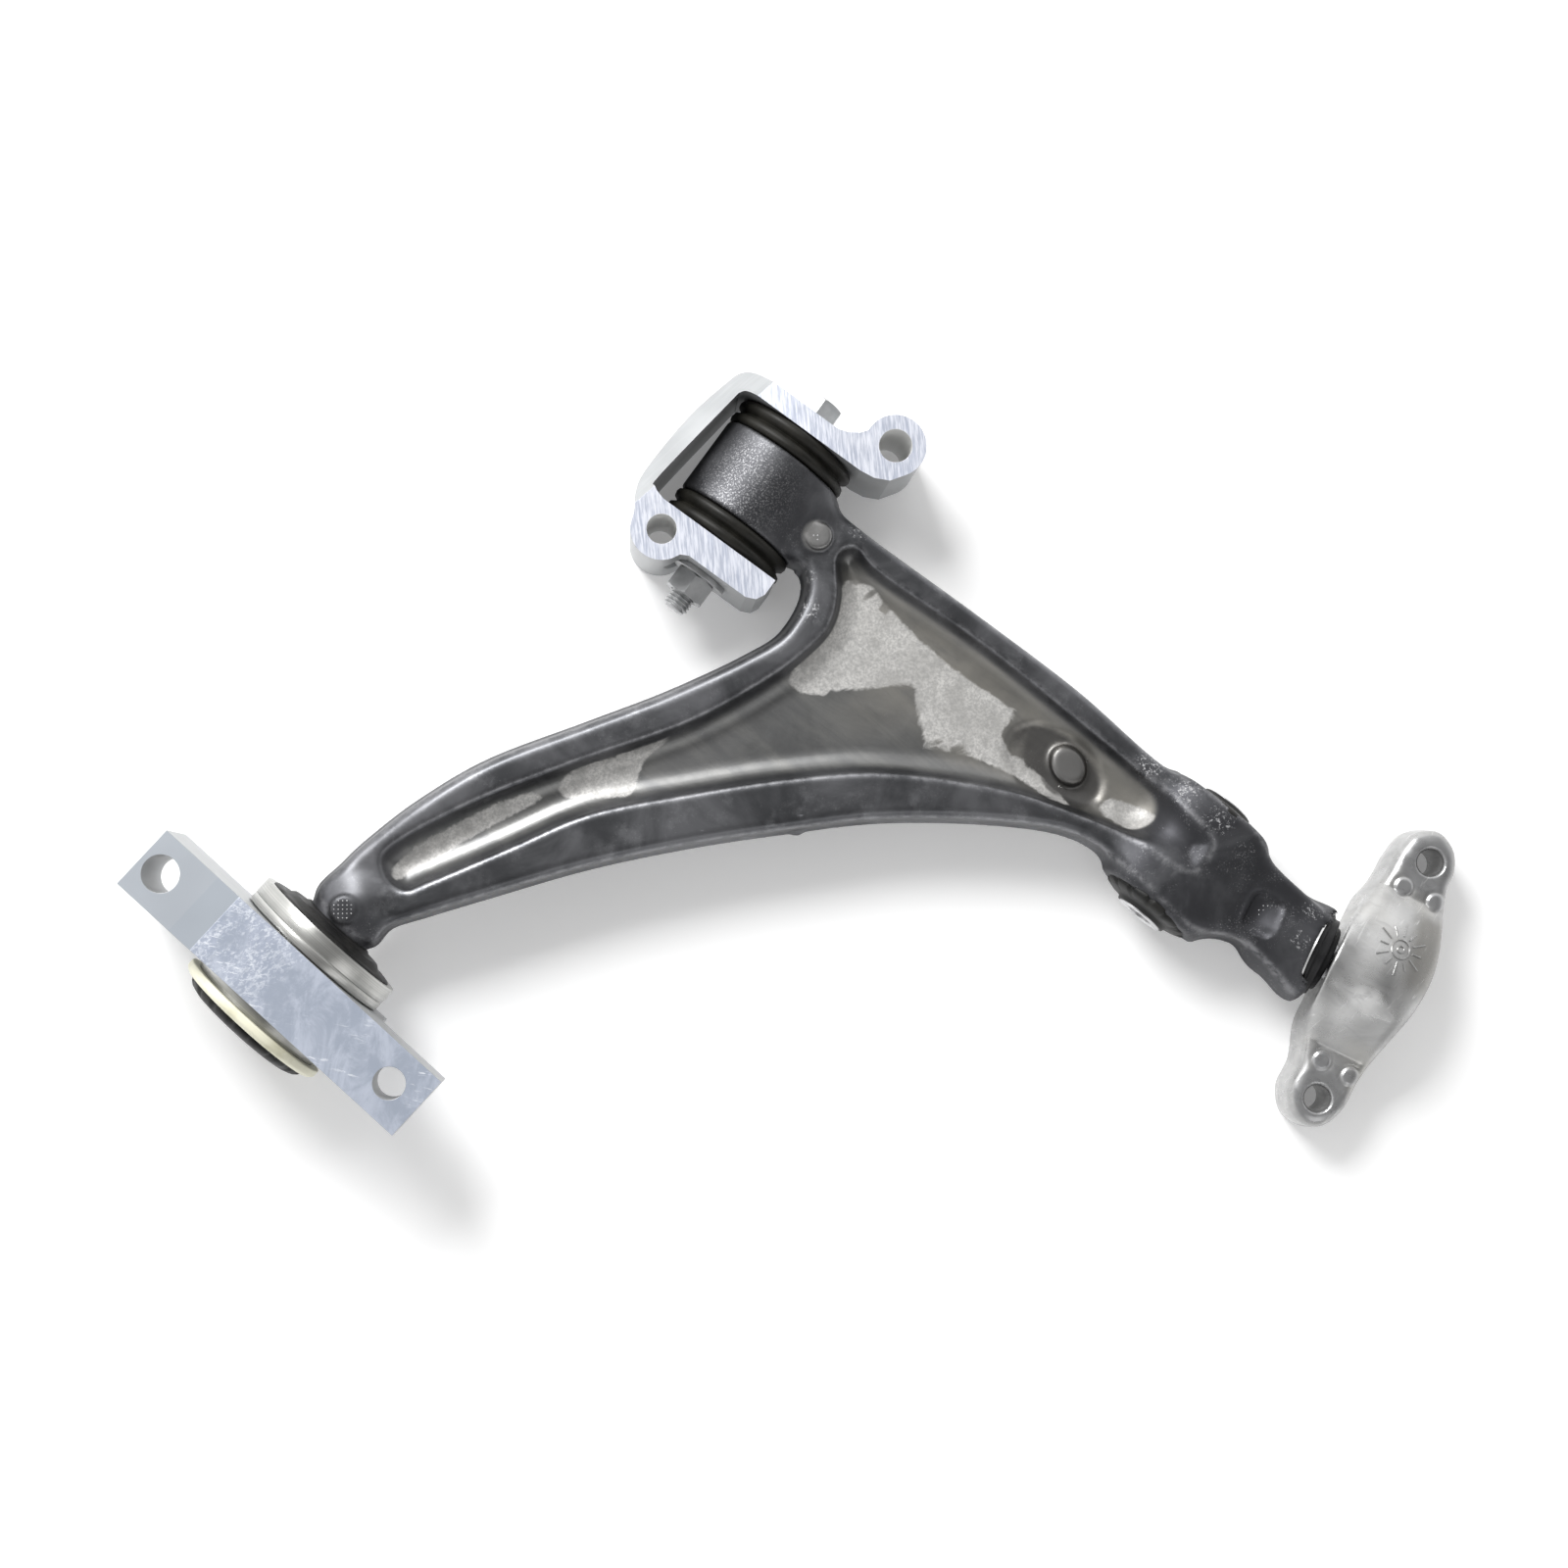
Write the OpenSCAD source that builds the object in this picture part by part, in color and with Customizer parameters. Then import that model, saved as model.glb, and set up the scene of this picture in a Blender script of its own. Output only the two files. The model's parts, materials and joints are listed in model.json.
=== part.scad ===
// Front lower control arm: a forged arm with a bushed bracket on each inner end,
// a damper bush through its outer end, and a ball joint that carries a two-bolt bracket.
// The whole assembly lies flat, as it rests on a bench, with +Z up.
// The origin is the seating face centre of the clevis bracket's first bolt hole.

/* [Forged arm] */
// Thickness of the arm between its flat faces
arm_thick = 30; // [26:1:34]
// Depth of the pocket in each face
pocket_depth = 11; // [6:1:12]
// How far the arm leans down towards its outer end, in degrees
arm_lean = 1.7; // [0:0.1:2.5]
// Thickness of the outer end, around the damper bush and the ball joint
shoulder_thick = 40; // [36:1:44]

/* [Clevis bracket and front bush] */
// Direction of the front bush axis, in degrees from +X
front_turn = 54; // [50:1:58]
// Height of the clevis bracket, which is cut from an extruded bar
clevis_h = 60; // [58:1:64]
// Clear width between the clevis legs
clevis_gap = 62.5; // [62:0.5:66]
// Thickness of the long leg, on the nut side
nut_leg = 14; // [12:0.5:16]
// Thickness of the short leg, on the bolt head side
head_leg = 9.3; // [8:0.1:11]
// Height of the front bush axis above the bench
front_z = 31; // [30.8:0.1:32]
// Outside diameter of the arm's front eye
eye_d = 60; // [58:1:60]
// Length of the arm's front eye
eye_len = 38; // [34:1:42]
// Diameter of the clevis hole nearest the web
clevis_hole_a = 13.5; // [13:0.5:15]
// Diameter of the clevis hole at the tip of the short leg
clevis_hole_b = 15; // [13:0.5:16]

/* [Bar bracket and rear bush] */
// Direction of the rear bush axis, in degrees from +X
rear_turn = 47.5; // [45:0.5:50]
// Length of the bar
bar_len = 162; // [158:1:166]
// Width of the bar
bar_w = 31.5; // [30:0.5:34]
// Outside diameter of the rear bush collar, which is also the bracket's height
collar_d = 75; // [74:1:78]
// Height of the deep lug
deep_lug_h = 59; // [50:1:60]
// Height of the shallow lug
shallow_lug_h = 31; // [28:1:33]
// Diameter of the deep lug's hole
deep_hole = 16.8; // [14:0.2:18]
// Diameter of the shallow lug's hole
shallow_hole = 14.5; // [13:0.5:16]

/* [Damper bush] */
// Direction of the damper bush axis, in degrees from +X
damper_turn = 50.5; // [49:0.5:52]
// Length of the damper bush's inner sleeve
damper_len = 66; // [64:1:70]
// Bore of the damper bush's inner sleeve
damper_bore = 12.5; // [12:0.5:14]

/* [Ball joint and outer bracket] */
// Direction of the ball stud, in degrees from +X
stud_turn = -26.4; // [-30:0.2:-24]
// Diameter of the ball
ball_d = 27; // [26:0.5:27]
// How far the mouth of the ball housing looks up, in degrees
mouth_rise = 18; // [14:1:20]
// Distance between the outer bracket's bolt holes
outer_pitch = 120.4; // [118:0.2:124]
// Diameter of the outer bracket's bolt holes
outer_hole = 12; // [11:0.5:13]
// Thickness of the outer bracket's lugs
outer_lug_h = 30; // [26:1:32]

/* [Hidden] */

$fn = 64;
over = 1;            // how far a cutting tool runs past the face it cuts
steps = 4;           // straight pieces between two points of a curved outline
run = 0.05;          // radial running clearance of a turning fit
gap = 0.4;           // gap between faces that move past each other

// The bush and ball centres, in plan.
clevis_hole_a_at = [-42.7, 24];   // in the front bush's own frame
clevis_hole_b_at = [49.8, -38.3];
front_at = -turned(clevis_hole_a_at, front_turn);
rear_at = [-166.1, -201.2];
rear_z = collar_d / 2;
damper_at = [240.3, -146.4];
damper_z = 25.5;
outer_at = [327.4, -201.5];
ball_reach = 42;     // from the ball's centre to the line of the outer bracket's holes
ball_offset = 1.3;   // sideways, from the stud to the middle of that line
ball_z = 24;
ball_at = outer_at - turned([ball_reach, ball_offset], stud_turn);

// Bushes
lug_r = 14;          // outside radius of the clevis bracket's lugs
eye_bore = 24;
front_core_r = 13;
front_flange_r = 30.6;
bolt_r = 6;
bolt_clear_r = 6.25;
hex_d = 20.8;        // across the corners of the bolt head and the nut
head_h = 9.8;
head_flange = 1.6;
nut_h = 10.5;
thread_end = -66;
washer = 2.5;
washer_r = 14.2;
spot_r = 14.8;       // milled seat for the washer, cut into the side of the lug
rear_bore = 33;
rear_core_r = 14;
rear_pin_r = 10;
neck_end_r = 15.5;   // the arm's neck where it meets the rear bush
deep_hole_y = 69.5;  // along the bar, from the bush axis
shallow_hole_y = -65.1;
collar_from = bar_w / 2 + 0.75;
collar_to = 28.5;
flange_from = -25.5;
flange_to = -20.5;
damper_boss_r = 24;
damper_boss_half = 25.5;
damper_lip = 4.5;    // how far the damper bush's rubber stands out of its boss
damper_sleeve_r = 20;
damper_rubber_r = 18.5;
damper_core_r = 11.4;

// Ball joint
housing_r = 23;
housing_to = 13.5;
seat_r = 17;
tunnel_r = 16.6;     // the housing's bore in front of the seat
neck_r = 6.5;
shank_r = 8.5;
shank_from = 18.3;
shank_to = 52.5;
mouth = 13;          // from the ball's centre to the housing's mouth
retainer_from = 10.5;
ring_w = 0.8;        // width of the wire rings on the boot

// The arm's outline in plan, as points on a smooth closed curve.
ARM_OUTLINE = [
  [-131, -185], [-120.5, -177.5], [-105, -172.5], [-77, -164], [-32.5, -151], [12, -141.5],
  [54, -135], [101, -129.5], [155, -130.5], [190, -137], [213.5, -154.5], [227, -168],
  [240, -178.5], [262, -184], [275, -195], [289, -209], [301, -198], [307, -177],
  [299, -165.5], [281, -148.5], [264, -127.5], [227, -101], [191, -69.5], [146, -36],
  [101, -4], [80, 12], [62, 24], [50, 6], [64.5, -20], [56, -42], [38, -54.5], [3, -71],
  [-33, -85], [-77, -102], [-107.5, -120], [-129.5, -137], [-142, -149], [-153, -164]
];

// The pocket's outline in plan.
POCKET_OUTLINE = [
  [79, -10], [88, -6], [100, -18], [145, -48.5], [189.5, -83.5], [225, -113], [246.5, -135],
  [247, -144], [237.5, -151.5], [216, -138], [189, -126.5], [153.5, -115], [100, -108],
  [56, -111], [11.5, -118], [-32.5, -127], [-67.5, -142], [-102.5, -157], [-115, -161],
  [-124, -153], [-120.5, -141.5], [-85, -122], [-41.5, -104.5], [11.5, -85.5], [47, -66],
  [65, -52.5], [75, -41.5], [79, -28]
];

// The thick outer end of the arm.
SHOULDER_OUTLINE = [
  [206, -148], [222, -164], [240, -173.5], [262, -179.5], [276, -190], [290, -203],
  [301, -192], [303, -177], [294, -168], [277, -150], [262, -132], [248, -121], [240, -138],
  [226, -148]
];

// The clevis bracket in the front bush's own frame, with its bush axis along X.
// The web closes the +Y side and the legs run towards -Y.
leg_in = clevis_gap / 2;
nut_face = leg_in + nut_leg;
head_face = leg_in + head_leg;
WEB_OUTSIDE = [
  [-42, 39], [-36.5, 43], [-25, 46], [6, 45], [29, 40.5], [37, 37.5], [head_face - 0.5, 32],
  [head_face, 24]
];
WEB_INSIDE = [
  [leg_in, 25], [30.7, 30.2], [28.3, 32.4], [24, 33.2], [-23, 39], [-29, 37.5], [-leg_in, 31]
];

// The outer bracket's outline in plan, in the stud's own frame, about its hole line's middle.
OUTER_OUTLINE = [
  [-16, 59], [-12.5, 70], [-2, 76], [8.5, 71.5], [13.8, 62], [14.5, 52], [20, 34], [25, 14],
  [24, -4], [19, -24], [15.5, -44], [14.5, -60], [9, -71], [0, -74.5], [-9, -71],
  [-14.8, -61], [-15, -48], [-20, -33], [-25, -16], [-25, 10], [-23.5, 24], [-17.5, 42]
];

function turned(p, a) = [p.x * cos(a) - p.y * sin(a), p.x * sin(a) + p.y * cos(a)];

// Catmull-Rom curve through a closed ring of points.
function blend(a, b, c, d, t) =
  b + 0.5 * t * (c - a + t * (2 * a - 5 * b + 4 * c - d + t * (3 * (b - c) + d - a)));
function closed_curve(p) = let (n = len(p)) [
  for (i = [0 : n - 1], k = [0 : steps - 1])
    blend(p[(i + n - 1) % n], p[i], p[(i + 1) % n], p[(i + 2) % n], k / steps)
];

// The same curve through an open row of points.
function open_curve(p) = let (n = len(p)) [
  for (i = [0 : n - 2], k = [0 : steps - 1])
    blend(p[max(i - 1, 0)], p[i], p[i + 1], p[min(i + 2, n - 1)], k / steps),
  p[n - 1]
];

// An arc about a centre, from angle a to angle b.
function arc(at, r, a, b) = let (n = ceil(abs(b - a) / 8)) [
  for (i = [0 : n]) let (t = a + (b - a) * i / n) at + r * [cos(t), sin(t)]
];

// Each frame has its axis along local X.
module at(p, z, turn) translate([p.x, p.y, z]) rotate([0, 0, turn]) children();
module front_frame() at(front_at, front_z, front_turn) children();
module rear_frame() at(rear_at, rear_z, rear_turn) children();
module damper_frame() at(damper_at, damper_z, damper_turn) children();
module stud_frame() at(ball_at, ball_z, stud_turn) children();
module mouth_frame() stud_frame() rotate([0, -mouth_rise, 0]) children();
module outer_frame() at(outer_at, 0, stud_turn) children();

// A round bar along local X, from x = a to x = b.
module bar(r, a, b) translate([a, 0, 0]) rotate([0, 90, 0]) cylinder(r = r, h = b - a);

module tube(r_out, r_in, a, b) {
  difference() {
    bar(r_out, a, b);
    bar(r_in, a - over, b + over);
  }
}

// A hexagonal prism along local X, from x = a to x = b.
module hexagon(d, a, b) translate([a, 0, 0]) rotate([0, 90, 0]) cylinder(d = d, h = b - a, $fn = 6);

// A ball with its poles on local X.
module ball(r) rotate([0, 90, 0]) sphere(r = r);

// A solid of revolution about local X. The profile's points are [radius, x].
module turned_solid(profile) rotate([90, 0, 90]) rotate_extrude() polygon(profile);

// A plate on the arm's leaning middle plane.
module on_arm_plane(thick) {
  translate([front_at.x, front_at.y, front_z])
    rotate([0, arm_lean, 0])
      translate([-front_at.x, -front_at.y, -thick / 2])
        linear_extrude(thick) children();
}

module arm_pads() {
  pad_rise = 1;
  on_arm_plane(arm_thick + 2 * pad_rise) {
    translate([-140.5, -169]) circle(r = 6.5);
    translate([70.5, -1]) circle(r = 5);
  }
}

module ball_housing() {
  turned_solid([
    [0, -19], [13, -18], [20, -12], [housing_r, -4], [housing_r, housing_to], [0, housing_to]
  ]);
}

module rear_neck() {
  from = collar_to + 2.5;
  turned_solid([[0, from], [neck_end_r, from], [neck_end_r, from + 17], [0, from + 30]]);
}

module arm_body() {
  difference() {
    on_arm_plane(arm_thick) polygon(closed_curve(ARM_OUTLINE));
    for (side = [-1, 1])
      translate([0, 0, side * (arm_thick - pocket_depth)])
        on_arm_plane(arm_thick) polygon(closed_curve(POCKET_OUTLINE));
  }
  on_arm_plane(shoulder_thick) polygon(closed_curve(SHOULDER_OUTLINE));
  arm_pads();
  front_frame() bar(eye_d / 2, -eye_len / 2, eye_len / 2);
  damper_frame() bar(damper_boss_r, -damper_boss_half, damper_boss_half);
  stud_frame() ball_housing();
  rear_frame() rear_neck();
}

module arm_forging() color("dimgray") {
  difference() {
    arm_body();
    front_frame() bar(eye_bore, -leg_in, leg_in);
    damper_frame() bar(damper_sleeve_r, -2 * damper_boss_half, 2 * damper_boss_half);
    stud_frame() ball(seat_r + run);
    mouth_frame() {
      bar(tunnel_r, 1, 2 * housing_r);
      bar(housing_r - 2, mouth, 2 * housing_r);
    }
  }
  rear_frame() bar(rear_pin_r, -24, 35);
}

// Front bush: a steel shell in the arm's eye, and rubber around the core that the bolt clamps.
module front_outer_sleeve() color("silver") front_frame() {
  tube(eye_bore, eye_bore - 2, -eye_len / 2, eye_len / 2);
}

module front_rubber() color("#24211c") front_frame() {
  half = eye_len / 2;
  lip = leg_in - gap;
  core = front_core_r + run;
  rib_in = front_flange_r - 2;
  shell = eye_bore - 2;
  turned_solid([
    [core, -lip], [rib_in, -lip], [front_flange_r, -lip + 2], [front_flange_r, -lip + 4],
    [rib_in, -lip + 5.5], [front_flange_r, -lip + 7], [front_flange_r, -half],
    [shell, -half], [shell, half],
    [front_flange_r, half], [front_flange_r, lip - 7], [rib_in, lip - 5.5],
    [front_flange_r, lip - 4], [front_flange_r, lip - 2], [rib_in, lip], [core, lip]
  ]);
}

module front_inner_sleeve() color("gainsboro") front_frame() {
  tube(front_core_r, bolt_clear_r, -leg_in, leg_in);
}

module clevis_outline() {
  polygon(concat(
    [[-leg_in, -30.5], [-nut_face + 6, -30.5], [-nut_face + 2, -28.5], [-nut_face, -24],
     [-nut_face, 7], [-nut_face - 1.8, 10.5]],
    arc(clevis_hole_a_at, lug_r, 235, 115),
    open_curve(WEB_OUTSIDE),
    [[head_face, -13], [head_face + 1.5, -17.5], [head_face + 4.5, -22]],
    arc(clevis_hole_b_at, lug_r, 96, -124),
    [[35.5, -45.5], [leg_in + 1, -39], [leg_in, -32]],
    open_curve(WEB_INSIDE)
  ));
}

module clevis_bracket() color("lightsteelblue") {
  slope_turn = -12.4;   // the sloped cut runs across the web, slightly askew
  slope = 40;
  front_frame() difference() {
    translate([0, 0, -front_z]) linear_extrude(clevis_h) clevis_outline();
    for (hole = [[clevis_hole_a_at, clevis_hole_a], [clevis_hole_b_at, clevis_hole_b]])
      translate([hole[0].x, hole[0].y, -front_z - over])
        cylinder(d = hole[1], h = clevis_h + 2 * over);
    bar(bolt_clear_r, -nut_face - lug_r, head_face + over);
    bar(spot_r, -nut_face - lug_r, -nut_face);
    translate([-34, 39, clevis_h - front_z])
      rotate([0, 0, slope_turn]) rotate([-slope, 0, 0])
        translate([-60, 0, 0]) cube([180, 60, 60]);
  }
}

module clevis_bolt() color("darkgray") front_frame() {
  seat = head_face + head_flange;
  bar(bolt_r, thread_end, head_face);
  bar(11, head_face, seat);
  hexagon(hex_d, seat, seat + head_h);
}

module clevis_nut() color("darkgray") front_frame() {
  seat = -nut_face - washer;
  difference() {
    hexagon(hex_d, seat - nut_h, seat);
    bar(bolt_r, seat - nut_h - over, seat + over);
  }
}

module clevis_washer() color("darkgray") front_frame() {
  tube(washer_r, bolt_clear_r, -nut_face - washer, -nut_face);
}

// Rear bush: an aluminium shell with a collar, held in the bar bracket.
module bar_profile() {
  top = collar_d - rear_z;
  left = 80.5;
  right = left - bar_len;
  lug_from = 38;
  barrel_half = 43.5;
  barrel_h = 58;
  translate([lug_from, top - deep_lug_h]) square([left - lug_from, deep_lug_h]);
  translate([right, top - shallow_lug_h]) square([-barrel_half - right + over, shallow_lug_h]);
  translate([-barrel_half, top - barrel_h]) square([2 * barrel_half, barrel_h]);
  circle(r = rear_z);
  polygon([[barrel_half, -18], [barrel_half, top], [30, top], [20, -31.5]]);
  polygon([[-barrel_half, -18], [-20, -31.5], [-30, top], [-barrel_half, top]]);
}

module bar_bracket() color("lightsteelblue") rear_frame() {
  difference() {
    translate([-bar_w / 2, 0, 0]) rotate([90, 0, 90]) linear_extrude(bar_w) bar_profile();
    bar(rear_bore, -bar_w, bar_w);
    translate([0, deep_hole_y, -rear_z]) cylinder(d = deep_hole, h = 2 * collar_d);
    translate([0, shallow_hole_y, -rear_z]) cylinder(d = shallow_hole, h = 2 * collar_d);
  }
}

module rear_outer_sleeve() color("silver") rear_frame() {
  groove = 0.8;
  turned_solid([
    [30, flange_from + 1.5], [rear_bore, flange_from + 1.5], [rear_bore, collar_from],
    [rear_z, collar_from], [rear_z, collar_from + 3.4], [rear_z - groove, collar_from + 4],
    [rear_z, collar_from + 4.6], [rear_z, collar_to - 1], [rear_z - 1, collar_to],
    [rear_z - 3, collar_to], [30, collar_to - 5]
  ]);
}

module rear_flange_ring() color("ivory") rear_frame() {
  turned_solid([
    [rear_bore + 0.1, flange_to], [rear_bore + 0.1, flange_from + 1.5], [29, flange_from + 1.5],
    [29, flange_from], [rear_z - 2, flange_from], [rear_z, flange_from + 1.5], [rear_z, flange_to]
  ]);
}

module rear_rubber() color("#1d1c1a") rear_frame() {
  core = rear_core_r + run;
  turned_solid([
    [core, flange_from + 2], [29.9, flange_from + 2], [29.9, collar_to - 5],
    [rear_z - 3.5, collar_to - 0.4], [33, collar_to + 0.6], [23, 31.6], [17, 33.5], [16.2, 33],
    [16.2, 30], [core, 29.6]
  ]);
}

module rear_membrane() color("#1d1c1a") rear_frame() {
  turned_solid([
    [0, flange_from - 5.5], [12, flange_from - 6], [26, flange_from - 6.5],
    [33, flange_from - 4], [34.5, flange_from], [0, flange_from]
  ]);
}

module rear_inner_sleeve() color("gainsboro") rear_frame() {
  tube(rear_core_r, rear_pin_r, -23, collar_to + 2.1);
}

// Damper bush
module damper_outer_sleeve() color("silver") damper_frame() {
  tube(damper_sleeve_r, damper_rubber_r, -damper_boss_half, damper_boss_half);
}

module damper_rubber() color("#1d1c1a") damper_frame() {
  half = damper_boss_half;
  lip = damper_boss_half + damper_lip;
  core = damper_core_r + run;
  turned_solid([
    [core, -lip], [17, -lip], [19.6, -lip + 2], [19.6, -half], [damper_rubber_r, -half],
    [damper_rubber_r, half], [19.6, half], [19.6, lip - 2], [17, lip], [core, lip]
  ]);
}

module damper_inner_sleeve() color("gainsboro") damper_frame() {
  tube(damper_core_r, damper_bore / 2, -damper_len / 2, damper_len / 2);
}

// Ball joint: a plastic seat in the housing, held by a ring, and a boot over its mouth.
module ball_seat() color("whitesmoke") stud_frame() {
  seat_lip = 3;
  difference() {
    ball(seat_r);
    ball(ball_d / 2 + run);
    bar(2 * seat_r, seat_lip, 3 * seat_r);
  }
}

module ball_stud() color("darkgray") stud_frame() {
  tip = 1.5;
  ball(ball_d / 2);
  turned_solid([
    [0, 5], [neck_r, 5], [neck_r, 15.5], [shank_r, shank_from], [shank_r, shank_to - tip],
    [shank_r - tip, shank_to], [0, shank_to]
  ]);
}

module ball_retainer() color("silver") mouth_frame() {
  turned_solid([
    [12.4, retainer_from], [tunnel_r, retainer_from], [tunnel_r, mouth], [14.6, mouth]
  ]);
}

// The boot's root, seated on the housing's mouth.
module boot() color("#1d1c1a") mouth_frame() {
  turned_solid([
    [16.2, mouth], [19, mouth], [19.6, mouth + 1.5], [18.2, mouth + 3.2], [16.4, mouth + 3.2]
  ]);
}

module boot_housing_ring() color("gainsboro") mouth_frame() tube(20.6, 19.7, mouth, mouth + ring_w);

module boot_stud_ring() color("gainsboro") stud_frame() {
  tube(shank_r + 0.9, shank_r + 0.05, shank_from + 0.1, shank_from + 0.1 + ring_w);
}

module outer_bracket() color("silver") {
  barrel_r = 24;
  barrel_to = ball_reach + 6;
  dome = 16;
  back = 22;           // from the ball's centre to the back of the barrel
  back_lean = 12;      // above the stud the back leans over the ball housing
  difference() {
    union() {
      outer_frame() linear_extrude(outer_lug_h) polygon(closed_curve(OUTER_OUTLINE));
      stud_frame() {
        bar(barrel_r, barrel_to - 33, barrel_to);
        translate([barrel_to, 0, 0]) turned_solid([
          for (a = [0 : 10 : 90]) [barrel_r * cos(a), dome * sin(a)],
          [0, 0]
        ]);
      }
    }
    for (side = [-1, 1])
      outer_frame() translate([0, side * outer_pitch / 2, -over])
        cylinder(d = outer_hole, h = 2 * outer_lug_h);
    stud_frame() bar(shank_r, 0, shank_to + 0.5);
    stud_frame() translate([back, 0, 0]) {
      translate([-40, -60, -60]) cube([40, 120, 60]);
      rotate([0, -back_lean, 0]) translate([-40, -60, 0]) cube([40, 120, 60]);
    }
  }
}

arm_forging();
front_outer_sleeve();
front_rubber();
front_inner_sleeve();
clevis_bracket();
clevis_bolt();
clevis_nut();
clevis_washer();
bar_bracket();
rear_outer_sleeve();
rear_flange_ring();
rear_rubber();
rear_membrane();
rear_inner_sleeve();
damper_outer_sleeve();
damper_rubber();
damper_inner_sleeve();
ball_seat();
ball_stud();
ball_retainer();
boot();
boot_housing_ring();
boot_stud_ring();
outer_bracket();
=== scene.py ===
import json
import math

import bmesh
import bpy
import numpy as np
from mathutils import Matrix, Vector

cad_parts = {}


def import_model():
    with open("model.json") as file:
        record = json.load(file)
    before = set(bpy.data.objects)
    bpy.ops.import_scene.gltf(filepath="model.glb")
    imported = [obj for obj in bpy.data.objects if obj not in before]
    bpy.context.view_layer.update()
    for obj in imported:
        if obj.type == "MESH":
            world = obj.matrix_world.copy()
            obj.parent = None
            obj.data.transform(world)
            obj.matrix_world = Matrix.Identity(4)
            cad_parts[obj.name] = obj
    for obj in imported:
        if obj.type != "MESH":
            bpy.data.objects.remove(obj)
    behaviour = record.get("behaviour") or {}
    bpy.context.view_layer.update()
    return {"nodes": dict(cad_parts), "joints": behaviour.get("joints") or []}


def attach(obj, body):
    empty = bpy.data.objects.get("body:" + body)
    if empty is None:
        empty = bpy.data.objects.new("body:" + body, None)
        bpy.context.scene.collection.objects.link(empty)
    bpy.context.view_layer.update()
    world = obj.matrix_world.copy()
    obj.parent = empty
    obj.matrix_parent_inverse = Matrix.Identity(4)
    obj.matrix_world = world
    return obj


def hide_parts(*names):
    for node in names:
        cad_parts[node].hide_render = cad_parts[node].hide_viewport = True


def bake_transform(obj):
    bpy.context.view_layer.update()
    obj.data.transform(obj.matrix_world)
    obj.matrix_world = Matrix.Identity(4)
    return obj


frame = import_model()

# All shapes below are worked out in millimetres and turned to metres when a mesh is made.
MM = 0.001


# ---------------------------------------------------------------- frames

class Frame:
    """A place and three axes. Its local X is a bush's or the ball stud's axis."""

    def __init__(self, origin, turn, pitch=0.0):
        a, b = math.radians(turn), math.radians(pitch)
        x = (math.cos(a) * math.cos(b), math.sin(a) * math.cos(b), math.sin(b))
        y = (-math.sin(a), math.cos(a), 0.0)
        self.turn = turn
        self.origin = np.array(origin, float)
        self.axes = np.array([x, y, np.cross(x, y)])

    def out(self, points):
        return np.asarray(points, float) @ self.axes + self.origin

    def local(self, x, y, z):
        """World coordinates, which may be arrays that broadcast, to local ones."""
        dx, dy, dz = x - self.origin[0], y - self.origin[1], z - self.origin[2]
        return [a[0] * dx + a[1] * dy + a[2] * dz for a in self.axes]

    def polar(self, x, y, z):
        """World coordinates to the distances along the axis and from it."""
        along, y, z = self.local(x, y, z)
        return along, np.sqrt(y * y + z * z)


def joint_frame(name, pitch=0.0):
    joint = next(j for j in frame["joints"] if j["name"] == name)
    x, y, _ = joint["axis"]
    origin = [c / MM for c in joint["pos_m"]]
    return Frame(origin, math.degrees(math.atan2(y, x)), pitch)


MOUTH_RISE = 18        # degrees that the ball housing's mouth looks up
ARM_LEAN = 1.7         # degrees that the arm leans down towards its outer end
BALL_REACH = 42        # from the ball's centre to the outer bracket's own origin
BALL_OFFSET = 1.3      # of that origin to one side of the stud
OUTER_TURN = -26.4
front = joint_frame("front_bush_twist")
rear = joint_frame("rear_bush_twist")
damper = joint_frame("damper_bush_twist")
stud = joint_frame("ball_swivel")
mouth = joint_frame("ball_swivel", MOUTH_RISE)
outer = Frame(stud.out([BALL_REACH, BALL_OFFSET, 0]) * [1, 1, 0], OUTER_TURN)


# ---------------------------------------------------------------- solid fields

def smooth_max(a, b, r):
    """The greater of two fields, with the corner between them rounded over r."""
    h = np.maximum(r - np.abs(a - b), 0) / r
    return np.maximum(a, b) + h * h * r * 0.25


def smooth_min(a, b, r):
    return -smooth_max(-a, -b, r)


def smoothstep(t):
    t = np.clip(t, 0, 1)
    return t * t * (3 - 2 * t)


def band(value, low, rise, high, fall):
    """One between two values, with soft ends."""
    return smoothstep((value - low) / rise) * smoothstep((high - value) / fall)


def closed_curve(points, steps=8):
    """Catmull-Rom curve through a closed ring of points."""
    p = np.array(points, float)
    a, b, c, d = np.roll(p, 1, 0), p, np.roll(p, -1, 0), np.roll(p, -2, 0)
    t = (np.arange(steps) / steps)[None, :, None]
    a, b, c, d = (q[:, None, :] for q in (a, b, c, d))
    curve = b + 0.5 * t * (c - a + t * (2 * a - 5 * b + 4 * c - d + t * (3 * (b - c) + d - a)))
    return curve.reshape(-1, 2)


def outline_field(curve, x, y):
    """Signed distance to a closed outline, negative inside."""
    nearest = np.full(np.broadcast(x, y).shape, 1e9, np.float32)
    inside = np.zeros(nearest.shape, bool)
    for (ax, ay), (bx, by) in zip(curve, np.roll(curve, -1, 0)):
        ex, ey = bx - ax, by - ay
        t = np.clip(((x - ax) * ex + (y - ay) * ey) / (ex * ex + ey * ey), 0, 1)
        nearest = np.minimum(nearest, (x - ax - t * ex) ** 2 + (y - ay - t * ey) ** 2)
        if ay != by:
            crosses = ((ay > y) != (by > y)) & (x < ax + (y - ay) * ex / ey)
            inside ^= crosses
    return np.where(inside, -1, 1) * np.sqrt(nearest)


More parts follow.
